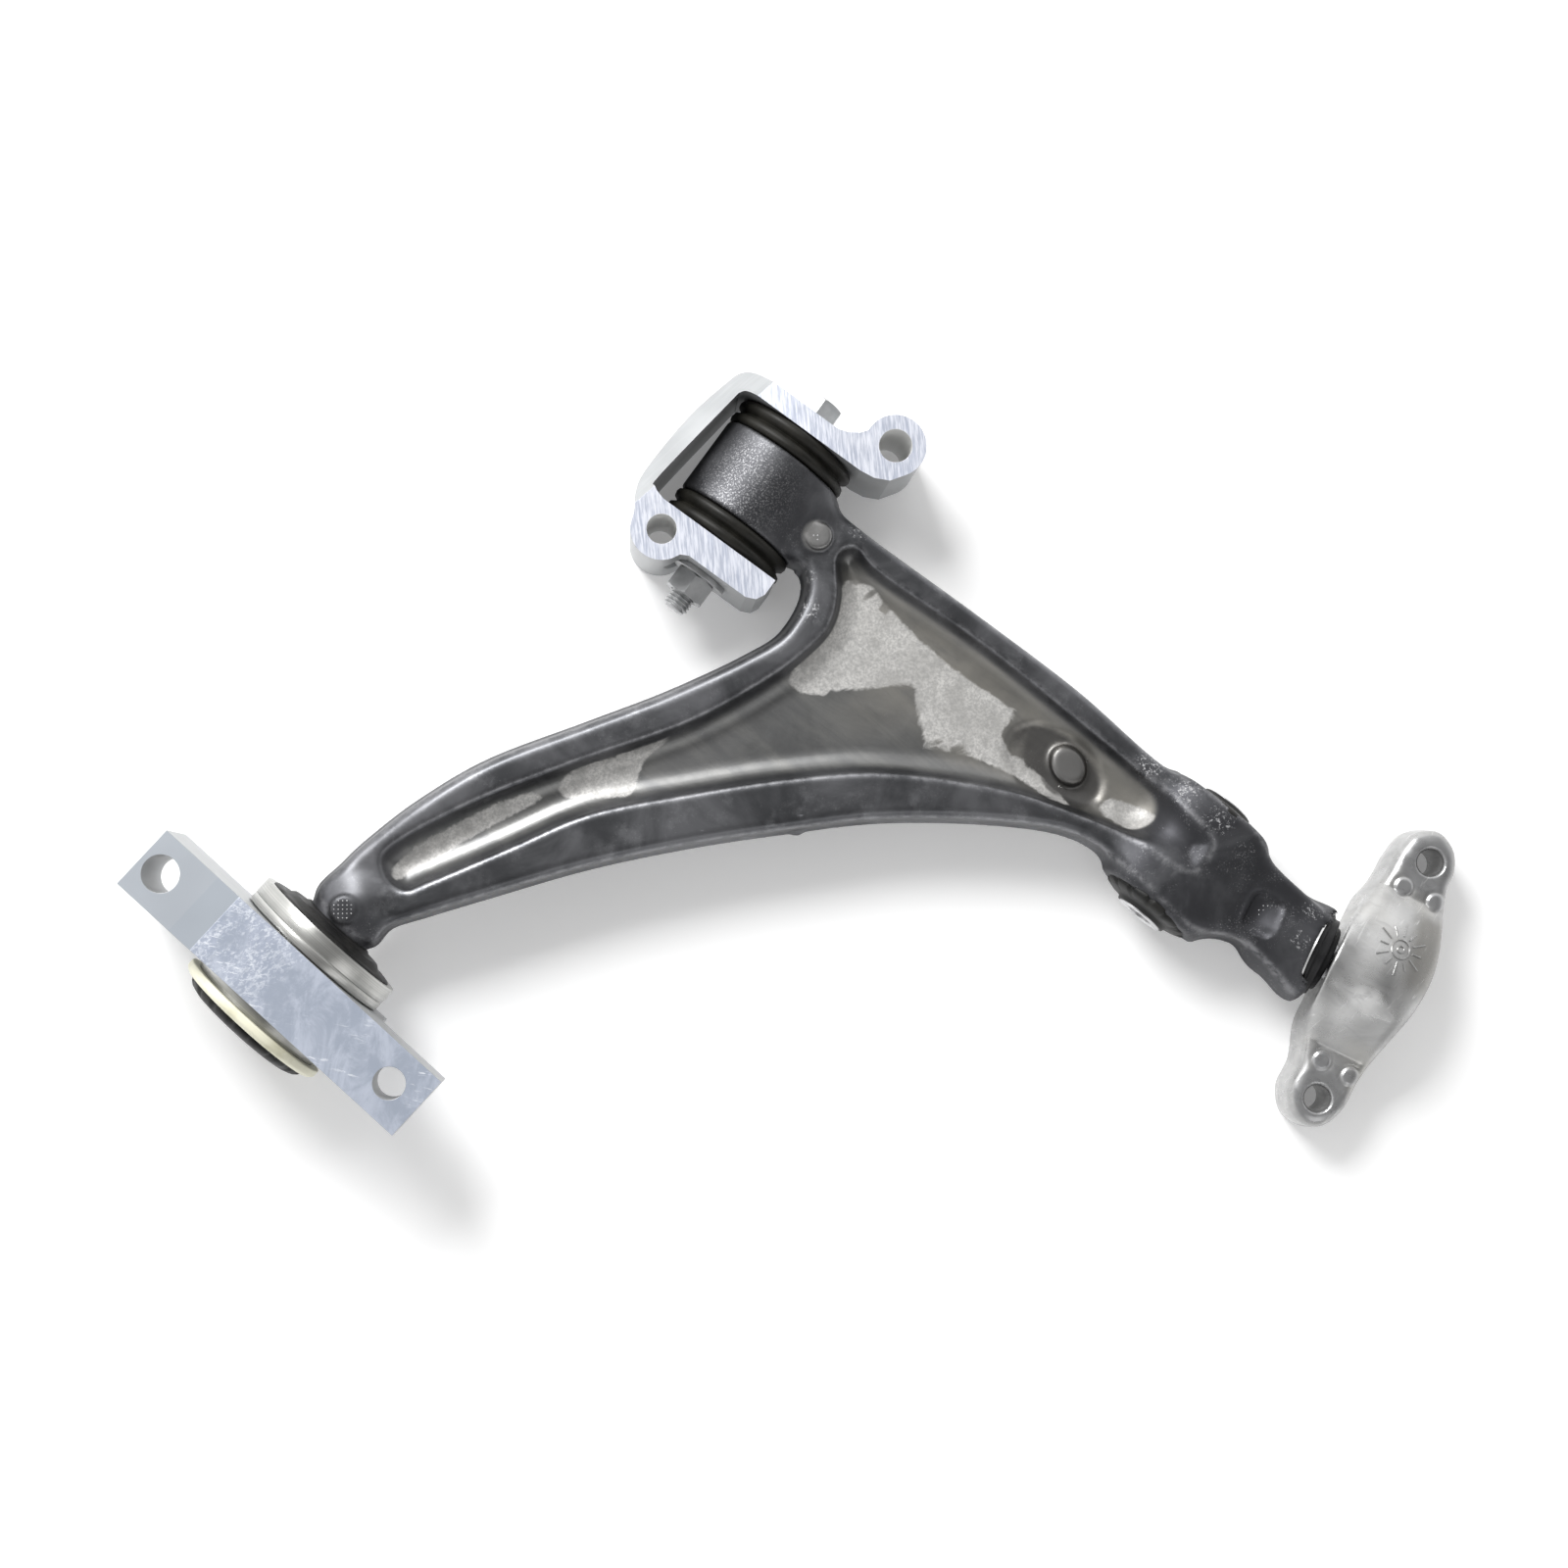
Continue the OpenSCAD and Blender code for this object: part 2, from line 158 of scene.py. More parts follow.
def oval_field(x, y, at, half_x, half_y, turn=0.0):
    """About the distance to an ellipse, negative inside."""
    c, s = math.cos(math.radians(turn)), math.sin(math.radians(turn))
    u = ((x - at[0]) * c + (y - at[1]) * s) / half_x
    v = ((y - at[1]) * c - (x - at[0]) * s) / half_y
    return (np.sqrt(u * u + v * v) - 1) * min(half_x, half_y)


def box_field(x, y, half_x, half_y, r):
    """Distance to a rectangle with rounded corners, about the origin."""
    u, v = np.abs(x) - half_x + r, np.abs(y) - half_y + r
    return np.hypot(np.maximum(u, 0), np.maximum(v, 0)) + np.minimum(np.maximum(u, v), 0) - r


CORNERS = [(i, j, k) for i in (0, 1) for j in (0, 1) for k in (0, 1)]
CELL_EDGES = [(a, b) for a in range(8) for b in range(a + 1, 8)
              if sum(p != q for p, q in zip(CORNERS[a], CORNERS[b])) == 1]


def sample(field, points):
    """The field between its grid points, and its slope, where points are in grid steps."""
    top = np.array(field.shape) - 2
    cell = np.clip(np.floor(points).astype(int), 0, top)
    f = points - cell
    value, slope = np.zeros(len(points)), np.zeros((len(points), 3))
    for corner in CORNERS:
        v = field[tuple((cell + corner).T)]
        w = np.where(corner, f, 1 - f)
        value += v * w.prod(1)
        for axis in range(3):
            others = w[:, (axis + 1) % 3] * w[:, (axis + 2) % 3]
            slope[:, axis] += v * others * (1 if corner[axis] else -1)
    return value, slope


def surface_net(field, low, pitch):
    """Points and four-sided faces of the surface where the field is zero."""
    inside = field < 0
    held = sum(inside[i:inside.shape[0] - 1 + i, j:inside.shape[1] - 1 + j, k:inside.shape[2] - 1 + k]
               .astype(np.int8) for i, j, k in CORNERS)
    active = (held > 0) & (held < 8)
    cells = np.argwhere(active)
    index = np.full(active.shape, -1, np.int64)
    index[active] = np.arange(len(cells))
    values = [field[tuple((cells + c).T)] for c in CORNERS]
    total, hits = np.zeros((len(cells), 3)), np.zeros(len(cells))
    for a, b in CELL_EDGES:
        cut = (values[a] < 0) != (values[b] < 0)
        t = values[a][cut] / (values[a][cut] - values[b][cut])
        step = np.array(CORNERS[b]) - CORNERS[a]
        total[cut] += np.array(CORNERS[a]) + t[:, None] * step
        hits[cut] += 1
    points = cells + total / hits[:, None]
    for _ in range(3):
        value, slope = sample(field, points)
        step = value[:, None] * slope / np.maximum((slope ** 2).sum(1), 1e-6)[:, None]
        points -= np.clip(step, -0.4, 0.4)
    faces = []
    for axis in range(3):
        lower = np.moveaxis(inside, axis, 0)[:-1]
        upper = np.moveaxis(inside, axis, 0)[1:]
        changed = (lower != upper)[:, 1:-1, 1:-1]
        at = np.argwhere(changed)
        cell = np.moveaxis(index, axis, 0)
        i, j, k = at[:, 0], at[:, 1], at[:, 2]
        quad = np.stack([cell[i, j, k], cell[i, j + 1, k], cell[i, j + 1, k + 1], cell[i, j, k + 1]], 1)
        flip = ~lower[:, 1:-1, 1:-1][changed]
        if axis == 1:
            flip = ~flip
        quad[flip] = quad[flip][:, ::-1]
        faces.append(quad)
    return np.array(low) + points * pitch, np.concatenate(faces)


def grid(low, high, pitch):
    """Three coordinate arrays that broadcast to a grid."""
    lines = [np.arange(a, b + pitch, pitch, dtype=np.float32) for a, b in zip(low, high)]
    return (lines[0][:, None, None], lines[1][None, :, None], lines[2][None, None, :])


# ---------------------------------------------------------------- meshes

def add_piece(name, mesh, body, material, replaced, angle):
    mesh.polygons.foreach_set("use_smooth", [True] * len(mesh.polygons))
    mesh.materials.append(material)
    piece = bpy.data.objects.new(name, mesh)
    bpy.context.scene.collection.objects.link(piece)
    if angle is not None:
        mesh.set_sharp_from_angle(angle=math.radians(angle))
    if body:
        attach(piece, body)
    if replaced:
        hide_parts(*replaced)
    return piece


def make_piece(name, points, faces, body, material, replaced=(), angle=None):
    """A piece from points in millimetres in the row's frame. Edges sharper than the angle stay hard."""
    mesh = bpy.data.meshes.new(name)
    if isinstance(faces, np.ndarray):
        n, k = faces.shape
        mesh.vertices.add(len(points))
        mesh.vertices.foreach_set("co", (np.asarray(points) * MM).astype(np.float32).ravel())
        mesh.loops.add(n * k)
        mesh.loops.foreach_set("vertex_index", faces.astype(np.int32).ravel())
        mesh.polygons.add(n)
        mesh.polygons.foreach_set("loop_start", np.arange(0, n * k, k, dtype=np.int32))
        mesh.update(calc_edges=True)
        mesh.validate()
    else:
        mesh.from_pydata([tuple(c * MM for c in p) for p in points], [], faces)
    return add_piece(name, mesh, body, material, replaced, angle)


def ring_grid(count, columns, closed=False):
    """Faces of rows of points that close round their columns, and from last row to first if closed."""
    i = np.arange(count if closed else count - 1)[:, None] * columns
    below = (i + columns) % (count * columns)
    j = np.arange(columns)[None, :]
    k = (j + 1) % columns
    return np.stack([i + j, i + k, below + k, below + j], -1).reshape(-1, 4)


def lathe(name, profile, place, body, slot, material, replaced=(), segments=128, shape=None, closed=True,
          angle=35):
    """A turned piece about local X, from (radius, x) pairs. shape(r, x, angle) may change a radius.

    A closed profile is a ring's section, and an open one starts and ends on the axis.
    """
    turn = np.linspace(0, 2 * math.pi, segments, endpoint=False)
    rows = []
    for r, x in profile:
        radius = np.full(segments, float(r)) if shape is None else shape(r, x, turn)
        rows.append(np.stack([np.full(segments, float(x)), radius * np.cos(turn), radius * np.sin(turn)], 1))
    points = place.out(np.concatenate(rows))
    faces = ring_grid(len(profile), segments, closed)
    if not closed:
        faces = [tuple(f) for f in faces]
        count = len(points)
        points = np.concatenate([points, place.out([[profile[0][1], 0, 0], [profile[-1][1], 0, 0]])])
        for j in range(segments):
            k = (j + 1) % segments
            faces.append((count, k, j))
            faces.append((count + 1, count - segments + j, count - segments + k))
    return make_piece(name, points, faces, body, material, replaced, angle)


def rounded(profile, r=0.6, steps=4):
    """The closed profile with its corners rounded."""
    p = np.array(profile, float)
    result = []
    for i in range(len(p)):
        a, b, c = p[i - 1], p[i], p[(i + 1) % len(p)]
        u, v = a - b, c - b
        reach = min(r, 0.45 * np.linalg.norm(u), 0.45 * np.linalg.norm(v))
        s = b + u / np.linalg.norm(u) * reach
        e = b + v / np.linalg.norm(v) * reach
        for t in np.linspace(0, 1, steps):
            result.append(tuple((1 - t) ** 2 * s + 2 * t * (1 - t) * b + t * t * e))
    return result


def bevelled_copy(name, node, body, material):
    """A CAD node's shape as a new piece, with its sharp edges broken."""
    width, sharp_from, hard_from = 0.5, 28, 14
    made = bmesh.new()
    made.from_mesh(frame["nodes"][node].data)
    bmesh.ops.remove_doubles(made, verts=made.verts, dist=2e-6)
    bmesh.ops.dissolve_limit(made, angle_limit=math.radians(0.3), verts=made.verts, edges=made.edges)
    made.normal_update()
    sharp = [e for e in made.edges
             if len(e.link_faces) == 2 and e.calc_face_angle(0) > math.radians(sharp_from)]
    bmesh.ops.bevel(made, geom=sharp, offset=width * MM, offset_type="OFFSET", segments=2, profile=0.5,
                    affect="EDGES", clamp_overlap=True)
    mesh = bpy.data.meshes.new(name)
    made.to_mesh(mesh)
    made.free()
    return add_piece(name, mesh, body, material, (node,), hard_from)


# ---------------------------------------------------------------- materials

class Nodes:
    """Short names for the nodes of a material or a world."""

    def __init__(self, tree):
        self.tree = tree

    def put(self, socket, value):
        """Link a socket, or set its constant. A colour is three numbers."""
        if isinstance(value, bpy.types.NodeSocket):
            self.tree.links.new(value, socket)
        elif value is not None:
            socket.default_value = (*value, 1.0) if socket.type == "RGBA" else value

    def node(self, kind, output, inputs, **settings):
        made = self.tree.nodes.new("ShaderNode" + kind)
        for name, value in settings.items():
            setattr(made, name, value)
        for key, value in inputs.items():
            self.put(made.inputs[key], value)
        return made.outputs[output]

    def math(self, operation, *values, clamp=False):
        return self.node("Math", 0, dict(enumerate(values)), operation=operation, use_clamp=clamp)

    def times(self, a, b):
        return self.math("MULTIPLY", a, b)

    def plus(self, a, b):
        return self.math("ADD", a, b)

    def minus(self, a, b):
        return self.math("SUBTRACT", a, b)

    def most(self, a, b):
        return self.math("MAXIMUM", a, b)

    def scaled(self, value, factor, added):
        return self.math("MULTIPLY_ADD", value, factor, added)

    def axis(self, vector, name):
        return self.node("SeparateXYZ", name, {0: vector})

    def span(self, value, low, high, to_low=0.0, to_high=1.0):
        """A smooth step from one value to another as the input goes from low to high."""
        return self.node("MapRange", 0, dict(enumerate((value, low, high, to_low, to_high))),
                         interpolation_type="SMOOTHSTEP")


class Paint(Nodes):
    """Builds a material. Every coordinate is the object's own, so it moves with its piece."""

    def __init__(self, name):
        self.material = bpy.data.materials.new(name)
        self.material.use_nodes = True
        super().__init__(self.material.node_tree)
        self.tree.nodes.clear()
        self.shader = self.tree.nodes.new("ShaderNodeBsdfPrincipled")
        output = self.tree.nodes.new("ShaderNodeOutputMaterial")
        self.tree.links.new(self.shader.outputs["BSDF"], output.inputs["Surface"])
        coords = self.tree.nodes.new("ShaderNodeTexCoord")
        self.place = coords.outputs["Object"]
        self.normal = coords.outputs["Normal"]

    def mapped(self, scale=(1, 1, 1), turn=0.0, shift=(0, 0, 0)):
        """Coordinates turned back by an angle about Z round a point, then stretched."""
        moved = self.node("Mapping", 0, {
            "Vector": self.place, "Location": [c * MM for c in shift],
            "Rotation": (0, 0, math.radians(turn))}, vector_type="TEXTURE")
        return self.node("Mapping", 0, {"Vector": moved, "Scale": scale})

    def noise(self, scale, detail=3.0, rough=0.55, vector=None, distortion=0.0):
        return self.node("TexNoise", "Fac", {"Vector": vector or self.place, "Scale": scale, "Detail": detail,
                                             "Roughness": rough, "Distortion": distortion})

    def streaks(self, stretch, turn, detail, rough, distortion=0.0):
        """Noise drawn out along the axes."""
        return self.noise(1, detail, rough, self.mapped(stretch, turn), distortion)

    def cells(self, scale):
        return self.node("TexVoronoi", "Distance", {"Vector": self.place, "Scale": scale})

    def mix(self, factor, a, b):
        return self.node("Mix", "Result", {"Factor": factor, "A": a, "B": b}, data_type="RGBA")

    def over(self, base, mask, share, colour):
        """A colour laid over the base by a share of the mask."""
        return self.mix(self.times(mask, share), base, colour)

    def mask(self, name):
        return self.node("Attribute", "Fac", {}, attribute_name=name)

    def away(self, vector, at):
        return self.node("VectorMath", "Value", {0: vector, 1: [c * MM for c in at]}, operation="DISTANCE")

    def spot(self, at, radius, blur=0.5, noise=None):
        """One where close to a point, falling to zero at the radius. Millimetres."""
        away = self.away(self.place, at)
        if noise is not None:
            away = self.scaled(noise, 0.5 * radius * MM, away)
            away = self.minus(away, 0.25 * radius * MM)
        return self.span(away, radius * MM, radius * blur * MM)

    def shaft(self, at, radius):
        """One within a radius of an upright axis."""
        return self.span(self.away(self.mapped((1, 1, 0)), (*at, 0)), radius * MM, (radius - 0.2) * MM)

    def bump(self, height, strength, distance, under=None):
        return self.node("Bump", 0, {"Strength": strength, "Distance": distance * MM, "Height": height,
                                     "Normal": under})

    def finish(self, colour, roughness, metallic=0.0, normal=None, **constants):
        inputs = {"Base Color": colour, "Roughness": roughness, "Metallic": metallic, "Normal": normal}
        inputs.update((name.replace("_", " "), value) for name, value in constants.items())
        for name, value in inputs.items():
            self.put(self.shader.inputs[name], value)
        return self.material


def forged_aluminium():
    p = Paint("forged_aluminium")
    cloud = p.noise(26, 5, 0.6, distortion=0.5)
    blotch = p.noise(75, 4, 0.6)
    fine = p.noise(900, 4, 0.7)
    grain = p.noise(2400, 2, 0.6)
    ragged = p.noise(130, 6, 0.7, distortion=0.8)
    drawn = p.streaks((14, 80, 30), -38, 5, 0.65, 0.6)
    floor, edge, painted_sheen = p.mask("floor"), p.mask("edge"), p.mask("painted_sheen")
    # The dark skin of the rims, with soft clouds and faint smears.
    skin = p.mix(p.span(cloud, 0.36, 0.64), (0.088, 0.090, 0.096), (0.160, 0.162, 0.171))
    skin = p.over(skin, p.span(blotch, 0.55, 0.72), 0.5, (0.232, 0.235, 0.246))
    # Darker, and a little rougher, round the bushes and over the outer end.
    deep = p.spot((276, -168, 30), 96, 0.6)
    for at, radius in (((44, 20, 31), 44), ((-146, -176, 30), 34)):
        deep = p.most(deep, p.spot(at, radius, 0.6))
    skin = p.mix(p.times(deep, p.span(cloud, 0.3, 0.7, 0.8, 0.5)), skin, (0.045, 0.045, 0.050))
    # The pocket's floor: a smooth grey film, and light metal where it is rubbed off.
    film = p.mix(p.span(drawn, 0.34, 0.68), (0.180, 0.182, 0.182), (0.245, 0.245, 0.238))
    film = p.over(film, p.span(cloud, 0.5, 0.7), 0.35, (0.150, 0.151, 0.155))
    # Painted reflection: the film is lightened and browned in a soft band along the pocket's outer side.
    painted_sheen_share = p.times(painted_sheen, p.span(p.plus(blotch, drawn), 0.7, 1.25, 0.45, 1.0))
    film = p.mix(painted_sheen_share, film, (0.36, 0.345, 0.315))
    # Darker over the sunk area round the button, with ragged edges.
    darkening = p.plus(p.mask("darkening"), p.scaled(ragged, 3.0, -1.5))
    film = p.over(film, p.span(darkening, -1.5, 2.0), 0.8, (0.095, 0.093, 0.092))
    base = p.mix(floor, skin, film)
    shift = p.scaled(ragged, 5.0, -2.5)
    reach = p.plus(p.mask("worn"), shift)
    worn = p.times(p.span(reach, -0.6, 0.9), p.span(floor, 0.1, 0.6))
    held = p.span(p.scaled(shift, 0.35, p.mask("dark")), -0.4, 0.8)
    worn = p.times(worn, p.minus(1.0, p.times(held, 0.75)))
    mottle = p.scaled(p.noise(420, 5, 0.75), 0.5, p.times(fine, 0.5))
    light = p.mix(p.span(mottle, 0.40, 0.60), (0.43, 0.425, 0.415), (0.67, 0.66, 0.64))
    light = p.over(light, p.span(cloud, 0.48, 0.60), 0.4, (0.30, 0.295, 0.285))
    light = p.over(light, p.span(blotch, 0.46, 0.66), 0.5, (0.34, 0.335, 0.325))
    base = p.over(base, worn, 0.92, light)
    # Painted highlights: bright lines along the edges, broken up by noise.
    painted_edge_highlight = p.times(edge, p.span(p.noise(170, 5, 0.7), 0.36, 0.62))
    base = p.over(base, painted_edge_highlight, 0.3, (0.52, 0.52, 0.54))
    # White chips, thickest on the ridge by the damper bush.
    zones = p.spot((222, -104, 42), 14, 0.2)
    for at, radius in (((238, -116, 45), 14), ((252, -129, 45), 15), ((263, -142, 43), 12),
                       ((62, -20, 45), 15), ((90, 3, 46), 10), ((66, -34, 45), 12),
                       ((296, -170, 44), 9), ((290, -183, 48), 9), ((214, -153, 42), 8)):
        zones = p.most(zones, p.spot(at, radius, 0.2))
    chips = p.span(p.scaled(zones, 0.16, p.noise(700, 4, 0.8)), 0.69, 0.77)
    chips = p.times(chips, zones)
    base = p.over(base, chips, 0.75, (0.60, 0.60, 0.61))
    dust = p.times(p.span(p.noise(1100, 4, 0.75), 0.56, 0.68), p.span(blotch, 0.46, 0.64))
    dust = p.times(dust, p.scaled(deep, 0.35, 0.25))
    salt = p.span(p.noise(1300, 3, 0.75), 0.50, 0.66)
    salt = p.times(salt, p.spot((36, 22, 60), 34, 0.2, blotch))
    base = p.mix(p.most(dust, p.times(salt, 0.7)), base, (0.42, 0.42, 0.43))
    # The front pad and the pocket's button are rubbed lighter.
    base = p.over(base, p.spot((*FRONT_PAD, 48), 8.0, 0.75), 0.6, (0.36, 0.355, 0.345))
    base = p.over(base, p.spot((*BUTTON, 36), 8.6, 0.75), 0.6, (0.34, 0.335, 0.33))
    rough = p.span(cloud, 0.3, 0.7, 0.35, 0.45)
    for mask, more in ((worn, 0.12), (deep, 0.16), (chips, 0.2)):
        rough = p.plus(rough, p.times(mask, more))
    metal = p.minus(0.95, p.times(p.math("ADD", worn, chips, clamp=True), 0.42))
    height = p.plus(p.times(grain, 0.4), fine)
    normal = p.bump(cloud, 0.20, 1.0)
    normal = p.bump(height, 0.18, 0.08, normal)
    normal = p.bump(p.minus(chips, worn), 0.35, 0.12, normal)
    return p.finish(base, rough, metal, normal)


def satin_sides(p):
    """The drawn metal of a bracket's sides, its film, and one on the faces that look up or down."""
    film = p.noise(30, 3, 0.5)
    line = p.streaks((40, 40, 900), 0, 2, 0.6)
    side = p.mix(p.span(film, 0.35, 0.65), (0.345, 0.355, 0.362), (0.41, 0.42, 0.427))
    side = p.over(side, p.span(line, 0.45, 0.7), 0.25, (0.46, 0.47, 0.48))
    return side, film, p.span(p.math("ABSOLUTE", p.axis(p.normal, "Z")), 0.93, 0.99)


def finish_bracket(p, colour, film, height):
    rough = p.scaled(p.span(film, 0.3, 0.7), 0.08, 0.36)
    normal = p.bump(p.noise(1200, 2, 0.5), 0.08, 0.05, p.bump(height, 0.45, 0.2))
    return p.finish(colour, rough, 0.35, normal)


def extruded_aluminium():
    """The clevis: fine saw marks on its upper and lower faces, and bores painted nearly white as painted
    light inside them.
    """
    p = Paint("extruded_aluminium")
    side, film, face = satin_sides(p)
    marks = p.streaks((1100, 90, 30), 5, 3, 0.65)
    broad = p.streaks((300, 36, 20), 5, 3, 0.6)
    sawn = p.mix(p.span(marks, 0.36, 0.64), (0.44, 0.47, 0.555), (0.73, 0.75, 0.82))
    sawn = p.over(sawn, p.span(p.noise(60, 4, 0.6), 0.5, 0.68), 0.35, (0.80, 0.81, 0.86))
    sawn = p.over(sawn, p.span(broad, 0.52, 0.68), 0.5, (0.38, 0.42, 0.53))
    colour = p.mix(face, side, sawn)
    # Painted light: the two upright holes are painted nearly white so that their walls look lit.
    for at, radius in (((0, 0), 6.9), (front.out([49.8, -38.3, 0])[:2], 7.65)):
        colour = p.mix(p.shaft(at, radius), colour, (0.93, 0.93, 0.92))
    return finish_bracket(p, colour, film, p.times(p.plus(marks, p.times(broad, 0.7)), face))


def milled_aluminium():
    """The bar: torn milling marks, which stop at a crease across its deep lug."""
    p = Paint("milled_aluminium")
    side, film, face = satin_sides(p)
    across = p.axis(p.mapped((1, 1, 1), rear.turn, rear.origin), "Y")
    marks = p.streaks((420, 700, 60), 35, 5, 0.72, 0.5)
    broad = p.streaks((70, 40, 30), -12, 5, 0.7, 0.6)
    # The patch nearest the deep lug is the most torn.
    torn = p.span(across, -0.022, 0.022)
    sawn = p.mix(p.span(broad, 0.40, 0.62), (0.36, 0.40, 0.48), (0.50, 0.54, 0.63))
    bright = p.mix(p.span(marks, 0.46, 0.60), (0.38, 0.42, 0.52), (0.84, 0.87, 0.93))
    patches = p.span(p.noise(60, 6, 0.72, distortion=0.4), 0.38, 0.58)
    sawn = p.over(sawn, p.times(patches, torn), 0.65, bright)
    scratch = p.span(p.streaks((150, 900, 60), -14, 4, 0.65, 0.6), 0.58, 0.66)
    scratch = p.times(scratch, p.span(p.noise(30, 2, 0.5), 0.42, 0.6))
    sawn = p.over(sawn, scratch, 0.8, (0.88, 0.90, 0.94))
    # Past the crease the lug's face is smooth, with a second faint line across it.
    milled = p.times(face, p.minus(1.0, p.span(across, 0.0374, 0.0378)))
    side = p.mix(face, side, (0.40, 0.435, 0.48))
    side = p.mix(p.times(p.span(across, 0.0500, 0.0503), face), side, (0.425, 0.455, 0.495))
    height = p.plus(p.times(marks, torn), p.times(broad, 0.5))
    return finish_bracket(p, p.mix(milled, side, sawn), film, p.times(height, milled))


def cast_aluminium():
    p = Paint("cast_aluminium")
    cloud = p.noise(34, 5, 0.62, distortion=0.8)
    smear = p.streaks((70, 190, 60), -30, 4, 0.65, 0.5)
    grain = p.noise(900, 3, 0.6)
    pits = p.span(p.cells(240), 0.0, 0.10, 1.0, 0.0)
    pits = p.times(pits, p.span(p.noise(45, 3, 0.6), 0.52, 0.62))
    scuff = p.span(p.streaks((90, 600, 60), 50, 4, 0.65, 0.6), 0.62, 0.69)
    colour = p.mix(p.span(cloud, 0.36, 0.64), (0.37, 0.37, 0.368), (0.49, 0.49, 0.487))
    # A painted highlight down the hump's back and painted shade on its front by the dial, then smears, a
    # tint, the lug seats, pits and scuffs.
    for mask, share, tone in (
            (p.mask("bright"), 0.8, (0.78, 0.78, 0.775)),
            (p.mask("painted_shade"), 0.8, (0.25, 0.242, 0.226)),
            (p.span(smear, 0.54, 0.7), 0.35, (0.34, 0.34, 0.345)),
            (p.span(p.noise(17, 3, 0.5), 0.55, 0.68), 0.4, (0.44, 0.425, 0.385)),
            (p.mask("lug"), 0.4, (0.38, 0.385, 0.40)),
            (pits, 0.6, (0.15, 0.15, 0.15)),
            (scuff, 0.35, (0.85, 0.85, 0.85))):
        colour = p.over(colour, mask, share, tone)
    rough = p.scaled(p.span(smear, 0.35, 0.7), 0.12, 0.26)
    normal = p.bump(cloud, 0.3, 0.5)
    normal = p.bump(p.minus(grain, pits), 0.22, 0.1, normal)
    return p.finish(colour, rough, 0.78, normal)


def turned_aluminium():
    """Rings left by the lathe, about the rear bush's axis."""
    p = Paint("turned_aluminium")
    rings = p.noise(1, 3, 0.6, vector=p.mapped((1900, 8, 8), rear.turn, rear.origin))
    darkening = p.noise(42, 4, 0.6)
    colour = p.mix(p.span(rings, 0.35, 0.65), (0.40, 0.40, 0.385), (0.52, 0.52, 0.50))
    colour = p.over(colour, p.span(darkening, 0.5, 0.68), 0.5, (0.24, 0.24, 0.225))
    return p.finish(colour, p.span(darkening, 0.3, 0.7, 0.26, 0.4), 0.9, p.bump(rings, 0.3, 0.08))


def plated_steel(name, low, high, rough, metallic=0.9):
    p = Paint(name)
    cloud = p.noise(60, 4, 0.6)
    grain = p.noise(1300, 3, 0.6)
    colour = p.mix(p.span(cloud, 0.35, 0.65), low, high)
    colour = p.over(colour, p.span(grain, 0.6, 0.75), 0.4, [0.6 * c for c in low])
    return p.finish(colour, p.scaled(p.span(cloud, 0.3, 0.7), 0.12, rough), metallic,
                    p.bump(grain, 0.15, 0.06))


def rubber(name, dark, dusty, rough=0.42):
    p = Paint(name)
    cloud = p.noise(70, 4, 0.6)
    dust = p.noise(700, 4, 0.7)
    colour = p.mix(p.span(cloud, 0.35, 0.7), dark, dusty)
    colour = p.over(colour, p.span(dust, 0.62, 0.72), 0.35, [2.4 * c for c in dusty])
    normal = p.bump(p.noise(160, 3, 0.6), 0.2, 0.3)
    return p.finish(colour, p.scaled(p.span(cloud, 0.3, 0.7), 0.16, rough), 0.0,
                    p.bump(dust, 0.2, 0.08, normal), Specular_IOR_Level=0.3)


def plastic(name, base, soiled):
    p = Paint(name)
    cloud = p.noise(55, 4, 0.6)
    colour = p.mix(p.span(cloud, 0.45, 0.75), base, soiled)
    return p.finish(colour, p.scaled(cloud, 0.12, 0.38), 0.0, p.bump(p.noise(500, 3, 0.6), 0.12, 0.1))


# Places on the arm in plan: the round pads, the pocket's button and the data pad.
FRONT_PAD, REAR_PAD = (70.5, -1), (-140.5, -169.5)
BUTTON = (186, -103.6)
DATA_PAD = (275.4, -171.6)

forged = forged_aluminium()
clevis_metal = extruded_aluminium()
bar_metal = milled_aluminium()
cast = cast_aluminium()
turned = turned_aluminium()
zinc = plated_steel("zinc_steel", (0.38, 0.385, 0.39), (0.52, 0.525, 0.53), 0.34, 0.7)
sleeve_metal = plated_steel("sleeve_steel", (0.52, 0.52, 0.53), (0.72, 0.72, 0.73), 0.28)
ball_metal = plated_steel("ball_steel", (0.50, 0.50, 0.52), (0.62, 0.62, 0.64), 0.16)
ring_metal = plated_steel("ring_steel", (0.62, 0.62, 0.62), (0.80, 0.80, 0.80), 0.2)
black_rubber = rubber("bush_rubber", (0.006, 0.006, 0.006), (0.014, 0.0135, 0.012))
olive_rubber = rubber("flange_rubber", (0.0060, 0.0058, 0.0045), (0.014, 0.013, 0.010))
boot_rubber = rubber("boot_rubber", (0.009, 0.009, 0.010), (0.018, 0.018, 0.019), 0.36)
ivory = plastic("ivory_plastic", (0.80, 0.78, 0.62), (0.62, 0.60, 0.44))
seat_white = plastic("seat_plastic", (0.82, 0.82, 0.80), (0.72, 0.72, 0.70))


# ---------------------------------------------------------------- the forged arm

